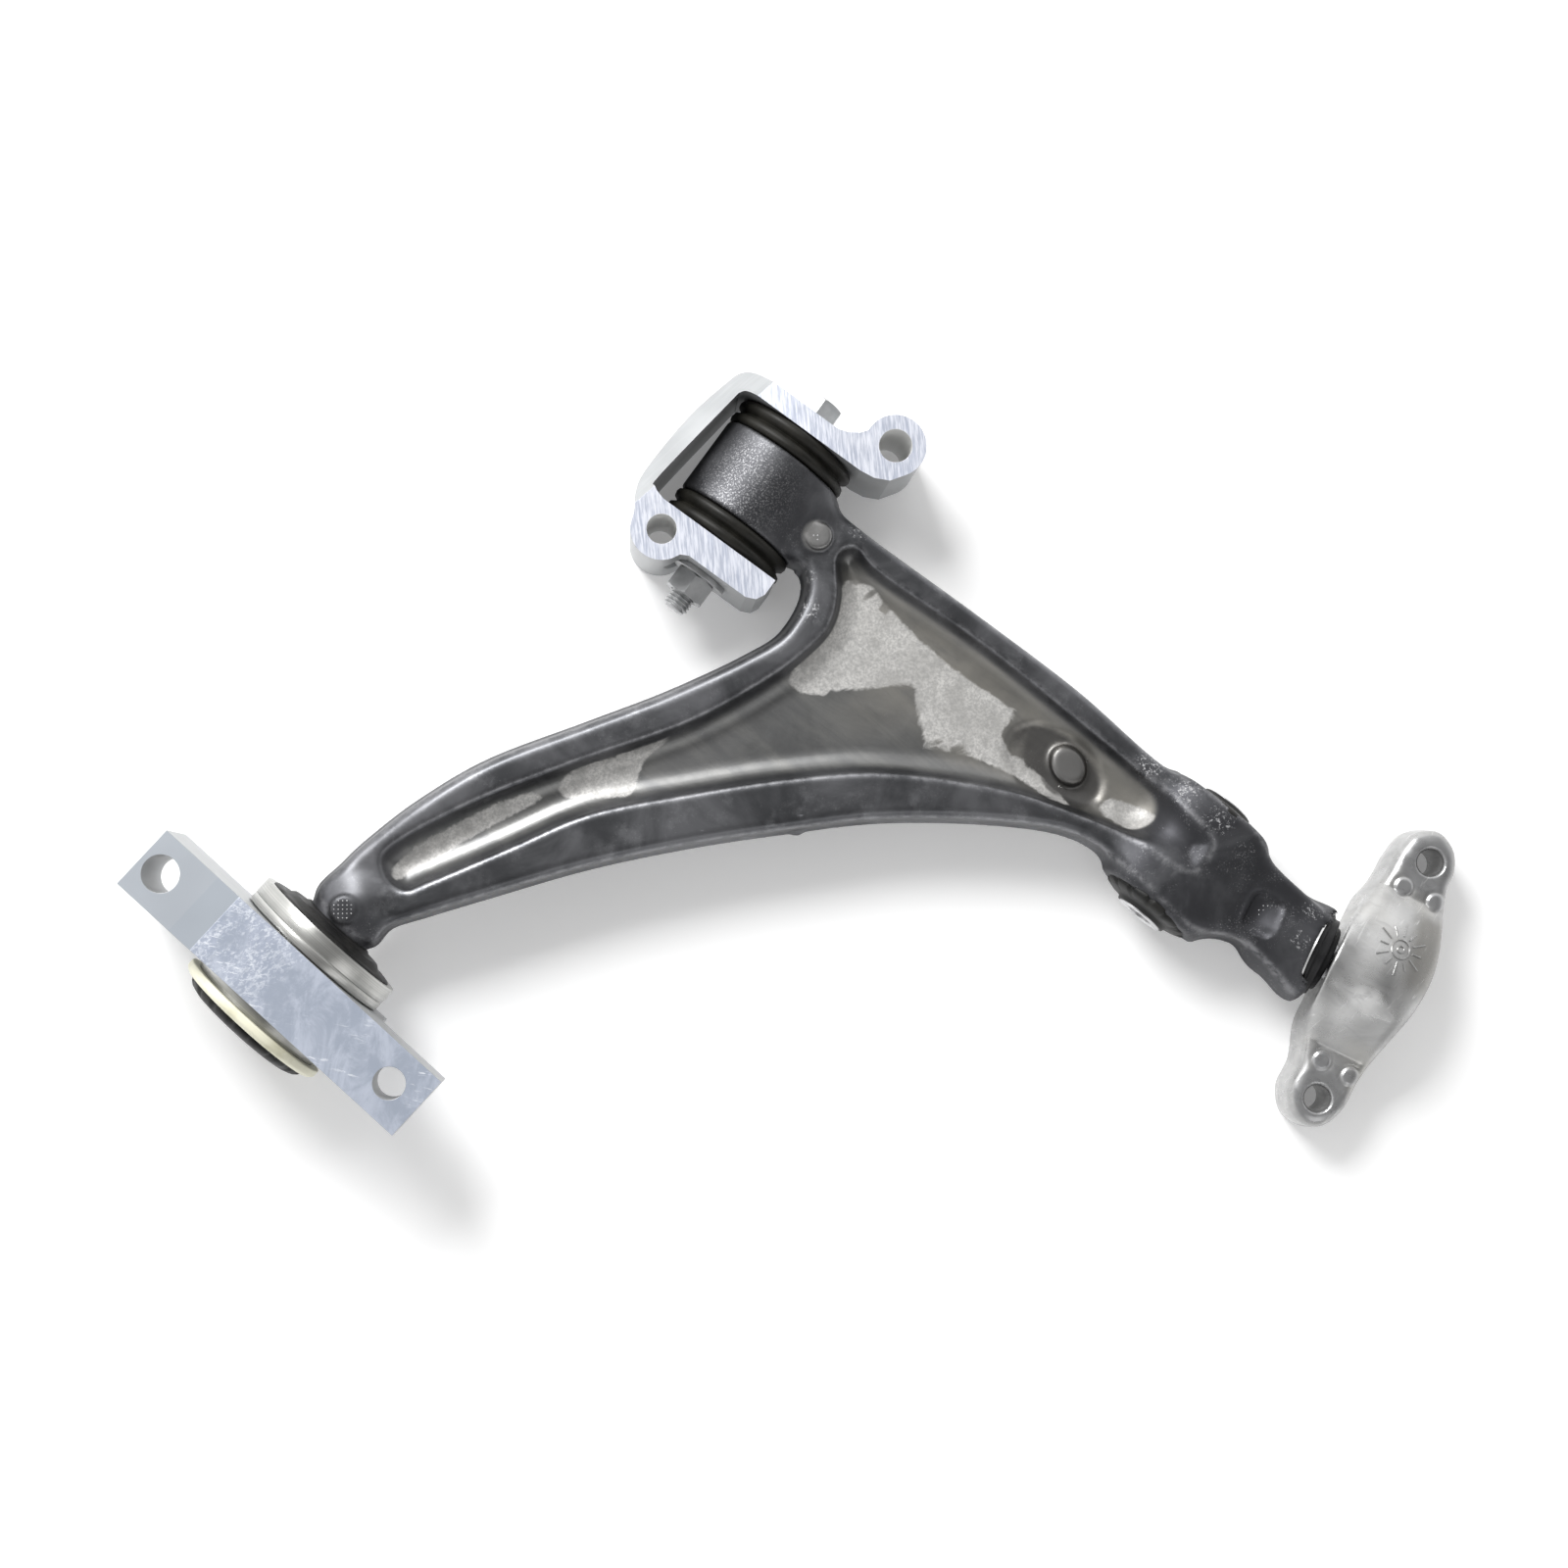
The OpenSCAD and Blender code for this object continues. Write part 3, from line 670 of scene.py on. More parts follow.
# The arm's outline in plan, from the rear bush round the lower edge to the ball joint and back.
ARM_OUTLINE = [
    (-131, -185), (-120.5, -177.5), (-105, -172.5), (-77, -164), (-32.5, -151), (12, -141.5),
    (54, -135), (101, -129.5), (155, -130.5), (190, -137), (213.5, -154.5), (227, -168),
    (240, -178.5), (262, -184), (275, -195), (289, -209), (301, -198), (307, -177),
    (299, -165.5), (281, -148.5), (264, -127.5), (227, -101), (191, -69.5), (146, -36),
    (101, -4), (80, 12), (62, 24), (50, 6), (64.5, -20), (56, -42), (38, -54.5), (3, -71),
    (-33, -85), (-77, -102), (-107.5, -120), (-129.5, -137), (-142, -149), (-153, -164),
]
POCKET_OUTLINE = [
    (79, -10), (88, -6), (100, -18), (145, -48.5), (189.5, -83.5), (225, -113), (246.5, -135),
    (247, -144), (237.5, -151.5), (216, -138), (189, -126.5), (153.5, -115), (100, -108),
    (56, -111), (11.5, -118), (-32.5, -127), (-67.5, -142), (-102.5, -157), (-115, -161),
    (-124, -153), (-120.5, -141.5), (-85, -122), (-41.5, -104.5), (11.5, -85.5), (47, -66),
    (65, -52.5), (75, -41.5), (79, -28),
]
# Radii, and distances along each bush's own axis.
HALF_THICK = 15.0
HALF_WEB = 4.0
EYE_R, EYE_BORE, EYE_HALF = 30.0, 24.0, 19.0
BOSS_R, BOSS_BORE, BOSS_HALF, BOSS_RISE = 24.0, 20.0, 25.5, 21.7
HOUSING_R, HOUSING_FROM, HOUSING_TO = 23.0, -19, 13.5
SEAT_R, TUNNEL_R = 17.05, 16.6
NECK_R, NECK_FROM, NECK_TO = 15.5, 31, 58
LEG_IN = 31.25
# The most triangles that the arm may have.
FACE_BUDGET = 190000
# Where the pocket's floor is rubbed to light bare metal.
WORN_PATCHES = [
    [(84, -20), (78, -34), (71, -48), (58, -64), (64, -71), (84, -74), (99, -77), (110, -84),
     (119, -95), (140, -99), (160, -108), (176, -118), (187, -122), (172, -107), (160, -98),
     (156, -88), (163, -80), (150, -71), (132, -58), (117, -45), (104, -32), (95, -22)],
    [(-46, -113), (-38, -106), (-20, -100), (-5, -94), (4, -91), (-4, -99), (-10, -108), (-14, -118),
     (-28, -119), (-42, -119)],
    [(-119, -157), (-119, -150), (-108, -140), (-92, -131), (-78, -124), (-60, -117), (-54, -120),
     (-72, -130), (-88, -139), (-104, -149)],
    [(204, -119), (216, -121), (230, -129), (241, -138), (244, -147), (237, -151), (226, -144),
     (213, -134), (201, -125)],
]
# Ovals left dark inside them: centre, half sizes and turn.
DARK_PATCHES = [
    ((93, -18.5), 8, 2.6, 15), ((102, -32), 6.0, 2.4, 58), ((96, -25.5), 5, 1.3, 35),
    ((112, -57), 8, 1.8, -5), ((143, -79), 3.6, 1.8, -60), ((147, -85), 3.4, 2.2, -20),
    ((178, -113), 6, 2.0, -50),
]
# The band along the pocket's outer side: a brownish film with a painted sheen, a painted reflection, laid
# over it.
PAINTED_SHEEN_OUTLINE = [
    (84, -14), (100, -22), (146, -52), (190, -87), (222, -113), (242, -135), (243, -147), (230, -147),
    (205, -131), (186, -121), (160, -110), (128, -101), (116, -88), (96, -66), (84, -44),
]


def vertices(piece):
    """A piece's points in millimetres."""
    flat = np.empty(len(piece.data.vertices) * 3, np.float32)
    piece.data.vertices.foreach_get("co", flat)
    return flat.reshape(-1, 3).astype(float) / MM


# The value of a mask in millimetres, far from its patches.
NOWHERE = -50.0


def set_mask(piece, name, values):
    layer = piece.data.attributes.new(name, "FLOAT", "POINT")
    layer.data.foreach_set("value", np.asarray(values, np.float32))


def lighten(piece):
    """Fewer triangles, most of them taken from the flat faces."""
    count = sum(len(p.vertices) - 2 for p in piece.data.polygons)
    if count <= FACE_BUDGET:
        return
    reduce = piece.modifiers.new("reduce", "DECIMATE")
    reduce.ratio = FACE_BUDGET / count
    lighter = bpy.data.meshes.new_from_object(piece.evaluated_get(bpy.context.evaluated_depsgraph_get()))
    piece.modifiers.clear()
    piece.data = lighter
    lighter.polygons.foreach_set("use_smooth", [True] * len(lighter.polygons))


LEAN_COS, LEAN_SIN = math.cos(math.radians(ARM_LEAN)), math.sin(math.radians(ARM_LEAN))


def off_plane(x, z):
    """From X and height on the arm's own plane, through the front bush's centre, to the world's."""
    x = x - front.origin[0]
    return front.origin[0] + x * LEAN_COS + z * LEAN_SIN, front.origin[2] - x * LEAN_SIN + z * LEAN_COS


def onto_plane(x, z):
    x, z = x - front.origin[0], z - front.origin[2]
    return x * LEAN_COS - z * LEAN_SIN + front.origin[0], x * LEAN_SIN + z * LEAN_COS


def plate(gx, gy, gz):
    """The flat forging with its pockets, button and pads, on the arm's own plane."""
    draft, pocket_draft = 0.11, 0.34
    plan_x, plan_y = gx[:, :, 0], gy[:, :, 0]
    outline = outline_field(closed_curve(ARM_OUTLINE), plan_x, plan_y)[:, :, None]
    pocket = outline_field(closed_curve(POCKET_OUTLINE), plan_x, plan_y)[:, :, None]

    # Thicker at the outer end and round the damper bush, thinner at the neck and along the edges.
    half = HALF_THICK + 4.5 * smoothstep((gx - 192 - 0.35 * (gy + 130)) / 70)
    half = half + 2.0 * smoothstep((40 - np.hypot(gx - damper.origin[0], gy - damper.origin[1])) / 22)
    half = half - 3.0 * smoothstep((-96 - gx) / 40)
    half = half - 0.5 * smoothstep((4.0 + outline) / 9.0)
    # On the upper face only: the data pad's lip and sunk floor, and a faint round dip.
    u, v, _ = stud.local(gx, gy, 0)
    pad = box_field(u + 20.4, v - 3.2, 8.4, 9.8, 5.0)
    upper = half + 0.8 * np.exp(-(pad / 1.2) ** 2) - 1.2 * smoothstep(-pad / 2.6 + 0.1)
    upper = upper - 0.5 * smoothstep((7.0 - np.hypot(gx - 231.3, gy + 163.5)) / 1.5)

    flash = 0.9 * np.exp(-(gz / 1.6) ** 2)
    side = outline + np.abs(gz) * draft - flash
    body = smooth_max(side, smooth_max(gz - upper, -gz - half, 2.0), 4.6)
    sunk = oval_field(plan_x, plan_y, (180, -104), 27, 18, -35)[:, :, None]
    floor = HALF_WEB - 1.3 * smoothstep(-sunk / 3.0)
    for top in (1, -1):
        void = smooth_max(pocket + (half - top * gz) * pocket_draft, floor - top * gz, 9.0)
        body = smooth_max(body, -void, 2.4)
    button = oval_field(plan_x, plan_y, BUTTON, 9.6, 7.6, -58)[:, :, None]
    return smooth_min(body, smooth_max(smooth_max(button, gz - 7.6, 2.2), -gz, 1.0), 2.4)


def arm_field(gx, gy, gz):
    """The whole forging. Grid coordinates lie on the arm's own plane."""
    body = plate(gx, gy, gz)
    wx, wz = off_plane(gx, gz)
    fx, eye_r = front.polar(wx, gy, wz)
    body = smooth_min(body, smooth_max(eye_r - EYE_R, np.abs(fx) - EYE_HALF, 1.6), 11.0)
    # Room for the clevis legs beside the eye.
    beside = np.maximum(EYE_HALF - np.abs(fx), np.abs(fx) - 46)
    body = smooth_max(body, -np.maximum(beside, eye_r - EYE_R - 4), 1.2)

    dx, boss_r = damper.polar(wx, gy, wz)
    boss = smooth_max(boss_r - BOSS_R, np.abs(dx) - BOSS_HALF, 1.6)
    body = smooth_min(body, smooth_max(boss, np.abs(gz) - BOSS_RISE, 7.0), 12.0)

    # The ball's housing, waisted behind the mouth.
    sx, sy, sz = stud.local(wx, gy, wz)
    waist = 4.2 * smoothstep((9 - sx) / 16)
    housing = np.sqrt((np.abs(sy) + waist) ** 2 + sz * sz) - HOUSING_R
    housing = smooth_max(smooth_max(housing, HOUSING_FROM - sx, 13.0), sx - HOUSING_TO, 1.5)
    body = smooth_min(body, housing, 6.0)
    body = smooth_max(body, np.minimum(sx - HOUSING_TO, 40 - np.sqrt(sy * sy + sz * sz)), 1.2)

    rx, neck_r = rear.polar(wx, gy, wz)
    body = smooth_min(body, smooth_max(neck_r - NECK_R, rx - NECK_TO, 12.0), 5.0)
    body = smooth_max(body, NECK_FROM - rx, 1.0)

    for at, radius, rise in ((REAR_PAD, 6.5, 18.0), (FRONT_PAD, 6.2, 18.2)):
        disc = smooth_max(np.hypot(gx - at[0], gy - at[1]) - radius, gz - rise, 1.2)
        body = smooth_min(body, np.maximum(disc, -gz), 1.6)
    gate = np.sqrt((gx - 62) ** 2 + (gy + 132.5) ** 2 + gz * gz) - 3.2
    body = smooth_min(body, gate, 2.0)

    # The bores, the ball's seat and the way out of it.
    body = np.maximum(body, -np.maximum(eye_r - EYE_BORE, np.abs(fx) - 30))
    body = np.maximum(body, -np.maximum(boss_r - BOSS_BORE, np.abs(dx) - 30))
    mx, mouth_r = mouth.polar(wx, gy, wz)
    body = np.maximum(body, -np.maximum(mouth_r - TUNNEL_R, 1 - mx))
    body = np.maximum(body, -np.maximum(mouth_r - HOUSING_R + 2, 13 - mx))
    return np.maximum(body, SEAT_R - np.sqrt(sx * sx + sy * sy + sz * sz))


def paint_arm(piece):
    """Masks for the material, from the same outlines, in millimetres inside each patch."""
    x, y, z = vertices(piece).T
    x, z = onto_plane(x, z)
    depth = HALF_THICK - np.abs(z)

    def inside(patches, field):
        reach = np.full(len(x), NOWHERE)
        for patch in patches:
            reach = np.maximum(reach, -field(patch))
        return reach

    def outlined(points):
        return outline_field(closed_curve(points), x, y)

    within, inset = -outlined(POCKET_OUTLINE), -outlined(ARM_OUTLINE)
    sunk = smoothstep((depth - 3.5) / 4.0)
    set_mask(piece, "floor", sunk * smoothstep((within - 1.5) / 3.0))
    # Where the painted sheen, a painted reflection, lies on the pocket's floor.
    set_mask(piece, "painted_sheen", smoothstep((4 - outlined(PAINTED_SHEEN_OUTLINE)) / 12) * sunk)
    for name, reach in (("worn", inside(WORN_PATCHES, outlined)),
                        ("dark", inside(DARK_PATCHES, lambda oval: oval_field(x, y, *oval))),
                        ("darkening", -oval_field(x, y, (182, -104), 25, 13, -42))):
        set_mask(piece, name, np.where(z > 0, reach, NOWHERE))
    # The edge mask: where painted highlights run along the pocket's lip and the outer rims.
    lip = np.exp(-((within + 0.8) / 1.1) ** 2) * smoothstep((3 - depth) / 2)
    rim = np.exp(-((inset - 1.2) / 1.2) ** 2) * smoothstep((6 - depth) / 3)
    rim = rim * smoothstep((np.hypot(x - front.origin[0], y - front.origin[1]) - 34) / 5)
    set_mask(piece, "edge", np.maximum(lip, rim))


def arm_piece():
    pitch = 1.15
    low, high = (-164, -216, -36), (313, 66, 34)
    points, faces = surface_net(arm_field(*grid(low, high, pitch)).astype(np.float32), low, pitch)
    x, y, z = points.T
    x, z = off_plane(x, z)
    piece = make_piece("arm", np.stack([x, y, z], 1), faces, "arm", forged,
                       ("arm_forging",))
    lighten(piece)
    paint_arm(piece)


arm_piece()

# The arm's pin, inside the rear bush.
lathe("arm_pin", [(8.5, -24), (9.97, -22.5), (9.97, 31.5)], rear, "arm", "forged_aluminium", forged,
      closed=False, segments=64)


def arm_dots():
    """Raised dots on the two round pads and in the data pad."""
    fives = [(i, j) for i in range(-2, 3) for j in range(-2, 3) if abs(i) + abs(j) < 4]
    height, sides = 0.35, 8
    points, faces = [], []
    for rows, spacing, at, rise, radius in (
            (fives, 1.9, REAR_PAD, 17.9, 0.42), ([(0, 0), (1, 0), (0, 1)], 1.8, FRONT_PAD, 18.1, 0.5),
            (fives, 2.0, DATA_PAD, 18.5, 0.42)):
        under = front.origin[2] - (at[0] - front.origin[0]) * math.tan(math.radians(ARM_LEAN)) + rise
        for i, j in rows:
            x, y = at[0] - spacing * i, at[1] - spacing * j
            start = len(points)
            for share, lift in ((1.0, -0.3), (0.8, 0.5), (0.4, 0.9)):
                for k in range(sides):
                    a = k * 2 * math.pi / sides
                    points.append((x - radius * share * math.cos(a), y - radius * share * math.sin(a),
                                   under + height * lift))
            points.append((x, y, under + height))
            for k in range(sides):
                n = (k + 1) % sides
                for ring in (start, start + sides):
                    faces.append((ring + k, ring + n, ring + sides + n, ring + sides + k))
                faces.append((start + 2 * sides + k, start + 2 * sides + n, start + 3 * sides))
            faces.append(tuple(start + sides - 1 - k for k in range(sides)))
    make_piece("arm_dots", points, faces, "arm", worn_dots)


worn_dots = plated_steel("worn_dots", (0.42, 0.42, 0.43), (0.66, 0.66, 0.66), 0.35)
arm_dots()


# ---------------------------------------------------------------- the outer bracket

OUTER_OUTLINE = [
    (-16, 59), (-12.5, 70), (-2, 76), (8.5, 71.5), (13.8, 62), (14.5, 52), (20, 34), (25, 14),
    (24, -4), (19, -24), (15.5, -44), (14.5, -60), (9, -71), (0, -74.5), (-9, -71),
    (-14.8, -61), (-15, -48), (-20, -33), (-25, -16), (-25, 10), (-23.5, 24), (-17.5, 42),
]
LUG_TOP = 30.0
HOLE_AT, HOLE_R = 60.2, 6.0
STUD_HEIGHT, STUD_BORE, BARREL_R = 24.0, 8.55, 24
HUMP = 18.0
BACK, BACK_LEAN = -20, math.radians(12)
DIAL = (1.4, 16.6)
# Raised marks beside the bolt holes.
MARKS = ((-6.5, 44.5), (10.0, 44.5), (-5.9, -43.9), (9.1, -44.8))


def outer_top(x, y):
    """Height of the bracket's upper face: a hump over the stud between two flat lugs."""
    along = y + BALL_OFFSET
    upper = np.clip(1 - (np.maximum(along, 0) / 43) ** 2, 0, 1) ** 1.05
    lower = np.clip(1 - (np.maximum(-along, 0) / 36) ** 2, 0, 1) ** 1.15
    across = np.sqrt(np.clip(1 - (np.maximum(x + 6, 0) / 31) ** 2, 0, 1))
    back = 1 - 0.12 * smoothstep((-x - 8) / 14)
    top = LUG_TOP + HUMP * upper * lower * across * back
    # Spot-faced seats round the holes.
    seat = np.hypot(x, np.abs(y) - HOLE_AT)
    top = top - 0.15 * smoothstep((12.6 - seat) / 0.9)
    for px, py in MARKS:
        away = np.hypot(x - px, y - py)
        top = top + 0.7 * smoothstep((4.3 - away) / 0.9) - 0.3 * np.exp(-((away - 4.9) / 0.8) ** 2)
    return top


def outer_field(x, y, z):
    plan = outline_field(closed_curve(OUTER_OUTLINE), x[:, :, 0], y[:, :, 0])[:, :, None]
    from_stud = np.hypot(y + BALL_OFFSET, z - STUD_HEIGHT)
    body = smooth_max(plan + np.abs(z - 9) * 0.06, z - outer_top(x, y), 6.0)
    body = smooth_max(smooth_min(body, smooth_max(from_stud - BARREL_R, x - 8, 14.0), 5.0), -z, 1.0)
    # The back leans over the ball housing.
    cut = BACK - x - smooth_max(z - STUD_HEIGHT, 0, 4) * math.tan(BACK_LEAN)
    body = smooth_max(body, cut * math.cos(BACK_LEAN), 1.4)
    hole = np.hypot(x, np.abs(y) - HOLE_AT) - HOLE_R
    body = np.maximum(body, np.maximum(z - (LUG_TOP - 1.6), 0) * 0.8 - hole)
    return np.maximum(body, -np.maximum(from_stud - STUD_BORE, x - 11))


def outer_piece():
    """The cast bracket. Returns the height of its upper face at a place in plan."""
    pitch = 0.8
    low, high = (-27, -79, -3), (30, 80, 52)
    body = outer_field(*grid(low, high, pitch))
    # The height of the upper face over each column of the grid.
    last = body.shape[2] - 1
    top = last - np.argmax((body < 0)[:, :, ::-1], axis=2)
    i, j = np.indices(top.shape)
    under, over = body[i, j, top], body[i, j, np.minimum(top + 1, last)]
    face = low[2] + pitch * (top + under / np.where(under < over, under - over, -1.0))

    points, faces = surface_net(body.astype(np.float32), low, pitch)
    piece = make_piece("outer_bracket_cast", outer.out(points), faces, "outer", cast,
                       ("outer_bracket",))
    x, y, z = points.T
    lug = band(z, 28.4, 0.8, 33.2, 1.6) * smoothstep((15.5 - np.hypot(x, np.abs(y) - HOLE_AT)) / 3)
    for at_x, at_y in MARKS:
        mark = smoothstep((4.6 - np.hypot(x - at_x, y - at_y)) / 0.8)
        lug = np.maximum(lug, 1.3 * mark * (z > 28))
    set_mask(piece, "lug", lug)
    # Painted shade on the hump's front by the dial, and a painted highlight down its back, for the material.
    set_mask(piece, "painted_shade", smoothstep((x - 3 + 0.1 * y) / 9) * band(y, -6, 14, 42, 10))
    set_mask(piece, "bright", np.exp(-((x + 9) / 8) ** 2) * band(y, -34, 14, 38, 14))

    def height_at(x, y):
        u, v = (x - low[0]) / pitch, (y - low[1]) / pitch
        a, b = np.floor(u).astype(int), np.floor(v).astype(int)
        u, v = u - a, v - b
        return ((1 - u) * ((1 - v) * face[a, b] + v * face[a, b + 1])
                + u * ((1 - v) * face[a + 1, b] + v * face[a + 1, b + 1]))

    return height_at


def dial(height_at):
    """A plain ring of twelve short ribs on the bracket's face."""
    points, faces = [], []

    def rib(path, half, rise):
        """A raised line along a row of places in plan."""
        p = np.array(path, float)
        t = np.gradient(p, axis=0)
        t /= np.linalg.norm(t, axis=1)[:, None]
        n = np.stack([-t[:, 1], t[:, 0]], 1)
        rows = []
        for offset, lift in ((-1.5, -0.25), (-0.6, rise), (0.6, rise), (1.5, -0.25)):
            q = p + n * half * offset
            rows.append(np.column_stack([q, height_at(q[:, 0], q[:, 1]) + lift]))
        rows = np.stack(rows, 1)
        start = len(points)
        points.extend(rows.reshape(-1, 3))
        count = len(p)
        for i in range(count - 1):
            for j in range(4):
                a, b = start + 4 * i + j, start + 4 * i + (j + 1) % 4
                faces.append((a, b, b + 4, a + 4))
        faces.append(tuple(start + j for j in (3, 2, 1, 0)))
        faces.append(tuple(start + 4 * (count - 1) + j for j in range(4)))

    middle = np.array(DIAL)
    for r in (4.4, 1.6):
        angle = np.linspace(0, 2 * math.pi, 41)
        rib(middle + r * np.stack([np.cos(angle), np.sin(angle)], 1), 0.38, 0.75)
    for k in range(12):
        angle = math.radians(30 * k + 4)
        reach = np.linspace(6.2, 12.6 if k % 2 else 10.4, 6)[:, None]
        rib(middle + reach * np.array([[math.cos(angle), math.sin(angle)]]), 0.34, 0.65)
    make_piece("outer_dial", outer.out(points), faces, "outer", cast, angle=50)


dial(outer_piece())


# ---------------------------------------------------------------- brackets cut from bar

bevelled_copy("clevis", "clevis_bracket", "clevis", clevis_metal)
bevelled_copy("bar", "bar_bracket", "bar", bar_metal)


# ---------------------------------------------------------------- bolt, nut and washer

NUT_FACE = -LEG_IN - 14
HEAD_FACE = LEG_IN + 9.3
HEX_R = 10.4
BOLT_R, PITCH, THREAD_END = 6.0, 1.75, -66.0
head_from, head_to = HEAD_FACE + 1.6, HEAD_FACE + 11.4
nut_to = NUT_FACE - 2.5
nut_from = nut_to - 10.5


def hexed(flat_from, flat_to):
    """Radius of a chamfered hexagon between two ends along X. Smaller radii are left round."""
    def radius(r, x, angle):
        if r < HEX_R:
            return np.full(len(angle), float(r))
        corner = (angle + math.pi / 6) % (math.pi / 3) - math.pi / 6
        near_end = min(x - flat_from, flat_to - x)
        return np.minimum(HEX_R * math.cos(math.pi / 6) / np.cos(corner), HEX_R - 1.3 + 1.75 * near_end)
    return radius


def hex_rows(a, b):
    return [(HEX_R, x) for x in (a, a + 0.25, a + 0.5, a + 0.75, b - 0.75, b - 0.5, b - 0.25, b)]


def threaded(r, x, angle):
    """A real helical thread past the nut, and a bevelled tip."""
    phase = (x / PITCH + angle / (2 * math.pi)) % 1
    depth = 0.85 * np.clip(1.25 - np.abs(phase - 0.5) * 3.2, 0, 1)
    return r - depth * smoothstep((-x - 42) / 3) - max(0.0, THREAD_END + 1.6 - x) * 0.9


def clamp(name, profile, replaced=(), **options):
    lathe(name, profile, front, "clevis", "zinc_steel", zinc, replaced, **options)


clamp("bolt_head", hex_rows(head_from, head_to), segments=96, shape=hexed(head_from, head_to), closed=False,
      angle=22)
clamp("bolt_flange", rounded([(5, HEAD_FACE), (11, HEAD_FACE), (10.2, HEAD_FACE + 1.7), (5, HEAD_FACE + 1.7)],
                             0.4))
clamp("nut", hex_rows(nut_from, nut_to) + [(6.9, nut_to), (6.3, nut_to - 1), (6.3, nut_from + 1),
                                           (6.9, nut_from)],
      ("clevis_nut",), segments=96, shape=hexed(nut_from, nut_to), angle=22)
clamp("washer", rounded([(6.4, nut_to), (13.9, nut_to), (13.9, NUT_FACE), (6.4, NUT_FACE)], 0.35),
      ("clevis_washer",))
shank = [THREAD_END, *np.arange(-40.0, THREAD_END + 0.6, -PITCH / 8)[::-1], -20.0, HEAD_FACE + 0.2]
clamp("bolt", [(BOLT_R, x) for x in shank], ("clevis_bolt",), segments=64, shape=threaded, closed=False,
      angle=50)


# ---------------------------------------------------------------- rubber and sleeves

def lobed(count, depth, share, from_r):
    """Notches round a rubber lip, cut only where its radius is large."""
    def radius(r, x, angle):
        wave = np.cos(angle * count) + 0.35 * np.cos(angle * (count * 2 + 1) + 0.7)
        return r - depth * smoothstep((wave - 1 + 2 * share) / 0.4) * (r >= from_r)
    return radius


CORE = 13.05
FLANGE = 30.6
lip = LEG_IN - 0.4
ribbed = []
for end in (-1, 1):
    half = [(EYE_HALF, 22), (EYE_HALF, 28.6), (EYE_HALF + 0.9, 30.2), (EYE_HALF + 2.2, FLANGE),
            (EYE_HALF + 4.2, 30.1), (EYE_HALF + 5.0, 28.6), (EYE_HALF + 5.9, 27.9), (EYE_HALF + 6.8, 28.8),
            (EYE_HALF + 7.8, 30.3), (lip - 2.6, FLANGE), (lip - 1.2, 30.2), (lip - 0.3, 29.2), (lip, 27.8),
            (lip - 0.5, 26.4), (lip, 25.0), (lip - 0.5, 21.5), (lip, 20.0), (lip, CORE)]
    rows = [(r, end * x) for x, r in half]
    ribbed += rows if end > 0 else rows[::-1]
# Start with the -X end's core, run out over its lip, through the eye and back.
lathe("front_rubber_ribbed", ribbed, front, "arm", "bush_rubber", olive_rubber, ("front_rubber",), angle=60)

lathe("rear_collar", rounded([(30, -24), (33, -24), (33, 16.5), (37.5, 16.5), (37.5, 20.1), (37.15, 20.5),
                              (37.5, 20.9), (37.5, 28.5), (34.5, 28.5), (30, 23.5)], 0.45, 3), rear, "bar",
      "turned_aluminium", turned, ("rear_outer_sleeve",), segments=192)
lathe("rear_flange", rounded([(33.1, -20.5), (33.1, -24), (29, -24), (29, -25.5), (35.6, -25.5),
                              (37.5, -23.8), (37.5, -20.5)], 0.7), rear, "bar",
      "ivory_plastic", ivory, ("rear_flange_ring",), segments=192)
cone = [(14.1, -23.5), (29.9, -23.5), (29.9, 23.5), (33.8, 28.0), (33.9, 28.7), (33.2, 29.2), (31.4, 29.6),
        (28.4, 29.4), (26.6, 30.2), (24.6, 31.8), (22.4, 31.9), (20.6, 31.2), (18.6, 32.6), (17.4, 33.5),
        (16.4, 33.2), (16.2, 30.4), (14.1, 29.6)]
lathe("rear_rubber_cone", cone, rear, "bar", "bush_rubber", black_rubber, ("rear_rubber",),
      segments=192, angle=60, shape=lobed(9, 0.6, 0.2, 31.0))
membrane = [(3, -29.4), (12, -29.7), (22, -30.2), (27, -30.0), (30.0, -29.0), (31.7, -27.6), (32.4, -26.4),
            (32.4, -25.5)]
lathe("rear_cap", membrane, rear, "bar", "bush_rubber", black_rubber, ("rear_membrane",),
      segments=192, closed=False, angle=60, shape=lobed(17, 0.9, 0.3, 28.0))
skirt = [(11.45, 32.4), (12.5, 32.2), (13.0, 31.0), (14.6, 30.3), (18.4, 29.6), (21.4, 28.6), (22.6, 27.2),
         (22.4, 25.65), (18.5, 25.6)]
lathe("damper_rubber_lip", [(r, -x) for r, x in skirt] + skirt[::-1], damper, "arm",
      "bush_rubber", black_rubber, ("damper_rubber",), segments=160, angle=60,
      shape=lobed(13, 1.5, 0.3, 21.0))
lathe("damper_core", rounded([(6.25, -33), (11.4, -33), (11.4, 33), (6.25, 33)], 0.6), damper,
      "damper_sleeve", "sleeve_steel", sleeve_metal, ("damper_inner_sleeve",))


